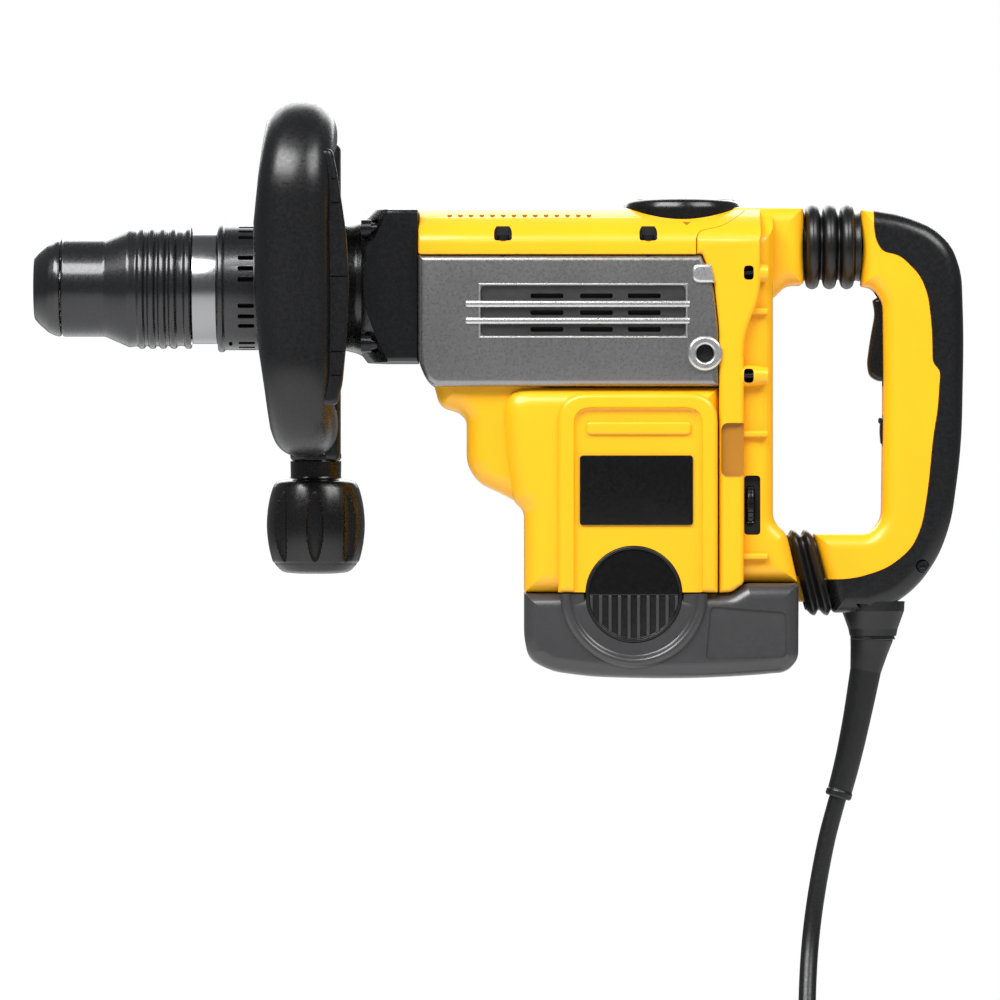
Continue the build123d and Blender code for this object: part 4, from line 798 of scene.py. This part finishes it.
# A ring point lies at x = -58.2 - BOOT_LEAN z + along, and moves outwards by swell, which makes two round
# ribs on the outside. The last eight rings come back along the inside.
BOOT_Z = -80.4
BOOT_LEAN = 0.249
along = np.concatenate([np.linspace(-6.4, 6.6, 40), np.linspace(6.6, -6.4, 8)])
swell = np.concatenate([1.5 * np.cos(np.linspace(-np.pi, 3 * np.pi, 40)), np.full(8, -3.4)])
section = across[None] + outward[None] * swell[:, None, None]
grid = np.stack([-58.2 - BOOT_LEAN * section[..., 1] + along[:, None], section[..., 0],
                 section[..., 1] + BOOT_Z], axis=-1)
boot = solid("pivot_boot", grid.reshape(-1, 3), quads(len(along), len(across), close_rows=True),
             bellows_rubber)
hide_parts("lower_boot")
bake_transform(boot)


# Side handle grip: one soft D loop. It is a rounded section swept around a U that lies across the tool; seen
# from the side its front and back edges bow: they follow BOW, as (height, front edge, back edge).
BOW = np.array([(-26, -324, -298), (-12, -328.4, -297.6), (-2.6, -331.5, -298), (13.8, -333.6, -299.6),
                (30, -336.1, -299.8), (58.7, -339, -299.4), (95, -338.9, -300), (118, -336.6, -299.6),
                (141, -333.6, -298.2), (160, -332, -298)])


def loop(name, low, high, material, trim=0.0):
    """The U's centre runs (y, z) from (14, 141) round to (14, -5) with corners of radius 34. At each step s
    the section is x = middle(z) + a|cos t|^0.86, normal = b|sin t|^0.86 with their signs, a and b shrinking
    to round ends by 5 - sqrt(25 - (5 - d)^2), d the distance from an end. low and high are shares of the
    U's length, and trim makes the section thinner all round."""
    flat = np.array([(14.0, 141.0), (-54, 141)] + [(-54 + 34 * np.cos(t), 107 + 34 * np.sin(t))
                                                   for t in np.linspace(np.pi / 2, np.pi, 24)[1:]]
                    + [(-54 + 34 * np.cos(t), 29 + 34 * np.sin(t))
                       for t in np.linspace(np.pi, 1.5 * np.pi, 24)] + [(14, -5)])
    run = np.concatenate([[0], np.cumsum(np.linalg.norm(np.diff(flat, axis=0), axis=1))])
    s = np.linspace(low * run[-1], high * run[-1], 180)
    s = np.concatenate([s[0] + np.array([0, 0.25, 0.8, 1.8]), s[4:-4],
                        s[-1] - np.array([1.8, 0.8, 0.25, 0])])
    y, z = np.interp(s, run, flat[:, 0]), np.interp(s, run, flat[:, 1])
    tangent = np.stack([np.gradient(y), np.gradient(z)], axis=1)
    tangent = tangent / np.linalg.norm(tangent, axis=1, keepdims=True)
    from_end = np.minimum(np.minimum(s - s[0], s[-1] - s), 5)
    shrink = 5 - np.sqrt(np.maximum(25 - (5 - from_end) ** 2, 0)) + trim
    front, back = np.interp(z, BOW[:, 0], BOW[:, 1]), np.interp(z, BOW[:, 0], BOW[:, 2])
    half = np.maximum((back - front) / 2 - shrink, 0.5)[:, None]
    deep = np.maximum(16.8 - shrink, 0.5)[:, None]
    columns = 48
    t = np.linspace(0, 2 * np.pi, columns, endpoint=False)[None]
    x = ((front + back) / 2)[:, None] + half * np.sign(np.cos(t)) * np.abs(np.cos(t)) ** 0.86
    n = deep * np.sign(np.sin(t)) * np.abs(np.sin(t)) ** 0.86
    grid = np.stack([x, y[:, None] + n * tangent[:, 1:], z[:, None] - n * tangent[:, :1]], axis=-1)
    return solid(name, grid.reshape(-1, 3), capped(len(s), columns), material, 60)


grip = loop("soft_side_grip", 0.088, 0.912, soft_touch)
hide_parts("side_handle_grip")
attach(grip, "side_handle")

# Side handle frame: hard black moulding. Two shoulders come out of the grip, a post stands on the clamp band
# at each side of the neck, and a jointed strip shows behind the grip.
hard_black = finish_material("hard_black", (0.0035, 0.0035, 0.004), 0.3, grain=0.02, grain_size=0.5,
                             blotch=0.1, bump=0.08)
frame_parts = [loop("side_frame", 0.0, 0.12, hard_black, 1.2), loop("shoulder", 0.88, 1.0, hard_black, 1.2)]
for low, high, edge_low, edge_high in ((101.5, 138, 1.2, 3), (-24.5, 20.8, 4, 1.2)):
    frame_parts.append(casting("post", box_outline(-322.6, -297, -12, 13, 5), low, high, hard_black,
                               edge_low, edge_high, "z"))
# STRIP is the back edge of the strip, as (height, x), and CLAMP_X is where the clamp bolt stands.
CLAMP_X = -309.6
STRIP = np.array([(4, -297), (15, -294.3), (40, -292), (66, -290.9), (88, -292.2), (105.6, -294.8),
                  (120, -297), (134, -300)])
height = np.linspace(4, 132, 24)
back_edge = np.stack([np.interp(height, STRIP[:, 0], STRIP[:, 1]), height], axis=1)
strip = casting("strip", shape(np.concatenate([[(-310, 132), (-310, 4)], back_edge]), 4), -94, -82,
                hard_black, 2.6, 2.6)
frame_parts.append(carved(strip, *[punch("joint_line", box_outline(-300, -286, z - 0.35, z + 0.35, 0.1),
                                         -96, -92.8, painted_shade_inside) for z in (18.8, 30.7, 68.2, 105, 116.8)]))
side_frame = joined(*frame_parts)
side_frame = carved(side_frame, drill("bolt_way", (CLAMP_X, 0, -40), (CLAMP_X, 0, 40), 4.3, hard_black),
                    many=True)
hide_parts("side_handle_frame")
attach(side_frame, "side_handle")


# Clamp knob: glossy black moulding, a round neck and a barrel with eight lens-shaped flutes and a domed foot.
# It turns on the clamp bolt under the side handle.
def fluted(along, angle):
    """Radius factor 1 - 0.11*sqrt(max(cos 8a - 1 + 0.8*w, 0)), with w = max(1 - ((z + 57)/18)^2, 0): grooves
    that narrow to a point above and below."""
    window = np.maximum(1 - ((along + 57) / 18) ** 2, 0)
    return 1 - 0.11 * np.sqrt(np.maximum(np.cos(8 * angle) - 1 + 0.8 * window, 0))


belly = [(z, 25.3 - 3.4 * ((z + 56) / 19) ** 2) for z in np.linspace(-74.6, -37, 40)]
barrel = [(-81, 0.001), (-81, 9), (-80.2, 17), (-76.4, 20.6), (-75.6, 20.9)] + belly + [
          (-34.2, 20.4), (-33.2, 17.6), (-33.2, 12.8), (-23.6, 13), (-23.2, 12.4),
          (-22.6, 12.4), (-22.2, 13), (-19, 13), (-19, 4.2), (-60, 4.2), (-60, 0.001)]
knob = turned("fluted_knob", softened(barrel, 4, steps=4), black_gloss, (CLAMP_X, 0, 0), "z", 288,
              closed=False, wave=fluted)
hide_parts("clamp_knob")
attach(knob, "clamp_knob")

# Steel of the clamp, the screws and the pivot: a zinc plated clamp bolt and bottom cover screws, blackened
# screws elsewhere, and a drawn steel band and pivot pin.
zinc = finish_material("zinc_screw", (0.32, 0.32, 0.33), 0.3, grain=0.02, grain_size=0.3, metal=1.0,
                       blotch=0.08, bump=0.2)
paint(zinc, "clamp_bolt", "bottom_cover_screws")
paint(black_oxide, "flange_bolts", "top_cover_screws", "rear_housing_screws")
band_steel = finish_material("band_steel", (0.25, 0.25, 0.26), 0.3, grain=0.02, grain_size=0.35, metal=1.0,
                             blotch=0.1, streak=(1, 0.1, 1), bump=0.15)
paint(band_steel, "clamp_band", "pivot_pin")


# Springs, inside the bellows and inside the locking sleeve: round steel wire, wound about the x axis.
WIRE_SIDES = 12


def spring(name, low, high, coil_radius, wire_radius, turns, height, node):
    """Wire centre (low + (high - low) t, R cos 2 pi n t, R sin 2 pi n t). Its ring is r cos u outwards and
    r sin u along x: the wire's slope is small, so the ring stands in the plane through the axis."""
    t = np.linspace(0, 1, int(28 * turns))[:, None]
    u = np.linspace(0, 2 * np.pi, WIRE_SIDES, endpoint=False)[None]
    around = coil_radius + wire_radius * np.cos(u)
    grid = np.stack([low + (high - low) * t + wire_radius * np.sin(u),
                     around * np.cos(2 * np.pi * turns * t),
                     height + around * np.sin(2 * np.pi * turns * t)], axis=-1)
    piece = solid(name, grid.reshape(-1, 3), capped(len(t), WIRE_SIDES), band_steel)
    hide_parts(node)
    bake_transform(piece)


spring("float_spring", -75, -32.5, 9, 1.3, 6.3, BELLOWS_Z, "handle_spring")
spring("return_spring", -417, -374.8, 21, 1.1, 5.1, AXIS_Z, "sleeve_spring")

# Inner works, seen only when the tool is taken apart: ground steel, cast alloy, laminations, copper, brass,
# carbon and moulded parts.
paint(finish_material("ground_parts", (0.5, 0.5, 0.51), 0.2, grain=0.01, grain_size=0.3, metal=1.0,
                      blotch=0.05, streak=(1, 0.08, 0.08), bump=0.1), "anvil", "striker", "cylinder_tube",
      "wrist_pin", "crankshaft", "crank_gear", "armature_shaft", "ball_bearings", "locking_rollers",
      "connecting_rod")
paint(finish_material("cast_alloy", (0.55, 0.55, 0.56), 0.35, grain=0.04, metal=1.0, blotch=0.08), "piston")
paint(finish_material("laminations", (0.16, 0.15, 0.15), 0.4, grain=0.05, grain_size=0.5, metal=1.0,
                      blotch=0.12, streak=(0.1, 0.1, 3), bump=0.5), "armature_core", "stator_core")
paint(finish_material("copper_parts", (0.72, 0.28, 0.12), 0.35, grain=0.05, grain_size=0.5, metal=1.0,
                      blotch=0.15, streak=(0.1, 0.1, 3), bump=0.5), "commutator", "field_coils")
paint(finish_material("brass_parts", (0.66, 0.45, 0.15), 0.3, grain=0.02, metal=1.0, blotch=0.08),
      "brush_holders")
paint(finish_material("carbon_parts", (0.03, 0.03, 0.032), 0.55, grain=0.05, blotch=0.2, bump=0.4),
      "carbon_brushes")
paint(finish_material("moulded_parts", (0.02, 0.02, 0.021), 0.42, grain=0.04, blotch=0.12, bump=0.2),
      "cooling_fan", "control_module", "trigger_switch", "piston_ring")

# Lead sleeve: a flared rubber gland under the handle, then a long tapering strain relief bent with the lead.
# Both are black moulded rubber.
lead_rubber = finish_material("lead_rubber", (0.006, 0.006, 0.0065), 0.36, grain=0.05, grain_size=0.5,
                              blotch=0.12, bump=0.3)


def hose(name, way, radii, material):
    """A round hose in the plane y = 0: way lists its (x, z) centre line, radii the radius at each share of
    the length. A ring lies at centre + r cos t * (the line's normal) + r sin t * y."""
    sides, rows = 48, 90
    way, radii = np.asarray(way, float), np.asarray(radii, float)
    run = np.concatenate([[0], np.cumsum(np.linalg.norm(np.diff(way, axis=0), axis=1))])
    run = run / run[-1]
    share = np.sort(np.concatenate([np.linspace(0, 1, rows), radii[1:-1, 0]]))
    bend = np.polynomial.Polynomial.fit(run, way[:, 0], min(3, len(way) - 1))
    x, z = bend(share), np.interp(share, run, way[:, 1])
    slope = np.stack([np.gradient(x, share), np.gradient(z, share)], axis=1)
    slope = slope / np.linalg.norm(slope, axis=1, keepdims=True)
    r = np.interp(share, radii[:, 0], radii[:, 1])[:, None]
    t = np.linspace(0, 2 * np.pi, sides, endpoint=False)[None]
    grid = np.stack([x[:, None] + r * np.cos(t) * slope[:, 1:], r * np.sin(t) + 0 * x[:, None],
                     z[:, None] - r * np.cos(t) * slope[:, :1]], axis=-1)
    return solid(name, grid.reshape(-1, 3), capped(len(share), sides), material)


gland = hose("lead_gland", [(-25.5, -95), (-25.5, -114.5)],
             [(0, 16.2), (0.25, 15.9), (0.72, 12.6), (0.9, 11.9), (0.92, 11), (0.96, 11), (0.98, 11.6),
              (1, 11.2)], lead_rubber)
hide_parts("cord_gland")
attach(gland, "rear_handle")
relief = hose("strain_sleeve", [(-26, -112), (-29, -129), (-33.2, -151.5), (-37.6, -173), (-43.4, -195)],
              [(0, 10.9), (0.02, 11), (0.1, 9.6), (0.22, 7.9), (0.5, 7.1), (0.75, 6.6), (0.955, 6.3),
               (0.965, 6.8), (0.99, 6.8), (1, 6.2)], lead_rubber)
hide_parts("strain_relief")
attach(relief, "rear_handle")

# Mains lead: about four metres of round rubber lead, 9 mm thick. It hangs from the strain relief, runs in
# front of its own coil, is wound into ten and two thirds turns held by a tie, and ends in the plug.
LEAD_WIDTH = 9.0
# COIL is the coil's middle (x, z). CELLS gives (radius, y) of the twelve places in the bundle's section, in
# the order in which the lead fills them. About sixteen points make a turn. The curve touches only the middle
# of each leg between them, so the radius is divided by the cosine of half the angle between two points.
COIL = np.array((-60.0, -389.0))
CELLS = np.array([(63, -13.5), (54, -13.5), (45, -13.5), (45, -4.5), (54, -4.5), (63, -4.5), (63, 4.5),
                  (54, 4.5), (45, 4.5), (45, 13.5), (54, 13.5), (63, 13.5)])
TURNS = 32 / 3
hanging = [(-43.4, 0, -195), (-46.5, 0, -206), (-49.8, 0, -219), (-54.6, 0, -245), (-57.6, -2, -268),
           (-59.2, -11, -288), (-60, -21, -306), (-60.6, -24, -326), (-61.6, -24, -350), (-63.5, -24, -375),
           (-66.5, -24, -398), (-70.5, -24, -418), (-76, -23.4, -433), (-83, -22.8, -441.6)]
turn = np.linspace(0, TURNS, 172)
angle = np.radians(-120) - 2 * np.pi * turn
cell = turn * 11 / TURNS
radius = np.interp(cell, np.arange(12), CELLS[:, 0]) / np.cos(np.pi / 16)
depth = np.interp(cell, np.arange(12), CELLS[:, 1]) - LEAD_WIDTH * np.clip(1 - turn / 0.14, 0, 1) ** 2
coil = np.stack([COIL[0] + radius * np.cos(angle), depth, COIL[1] + radius * np.sin(angle)], axis=1)
tail = [(3, 13.5, -404), (3, 13.5, -422), (3, 10.5, -440), (3, 5, -458), (3, 0.6, -474), (3, 0, -489)]
points = np.concatenate([hanging, coil, tail]) * MM
lead = bpy.data.objects.new("mains_lead", bpy.data.curves.new("mains_lead", "CURVE"))
bpy.context.collection.objects.link(lead)
lead.data.dimensions = "3D"
spline = lead.data.splines.new("NURBS")
spline.points.add(len(points) - 1)
spline.points.foreach_set("co", np.concatenate([points, np.ones((len(points), 1))], axis=1).ravel())
spline.order_u = 3
spline.use_endpoint_u = True
spline.resolution_u = 4
lead.data.bevel_depth = LEAD_WIDTH / 2 * MM
lead.data.bevel_resolution = 5
lead.data.use_fill_caps = True
lead.data.materials.append(lead_rubber)
paint(hard_black, "cord_tie")
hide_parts("power_cord", "cord_coil", "cord_tail")
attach(lead, "rear_handle")

# Plug: black moulded two-pin plug with a ringed neck and plated pins, at the far end of the lead. The body is
# a turned shape.
plug = turned("mains_plug_body", softened([(-487, 5), (-487, 6.6), (-490, 7.2), (-491, 6.6), (-493, 7.8),
                                           (-494, 7.2), (-496, 8.6), (-497, 8), (-499, 9.6), (-507, 13.4),
                                           (-517, 18), (-533, 18.4), (-535, 17.2), (-535, 0.001)], 1.4),
              lead_rubber, (3, 0, 0), "z", 72, closed=False)
pins = joined(*[round_bar("plug_pins", (3 + side * 9.5, 0, -554), (3 + side * 9.5, 0, -534), 2.4, zinc, 1.2)
                for side in (-1, 1)])
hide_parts("mains_plug")
for piece in (plug, pins):
    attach(piece, "rear_handle")
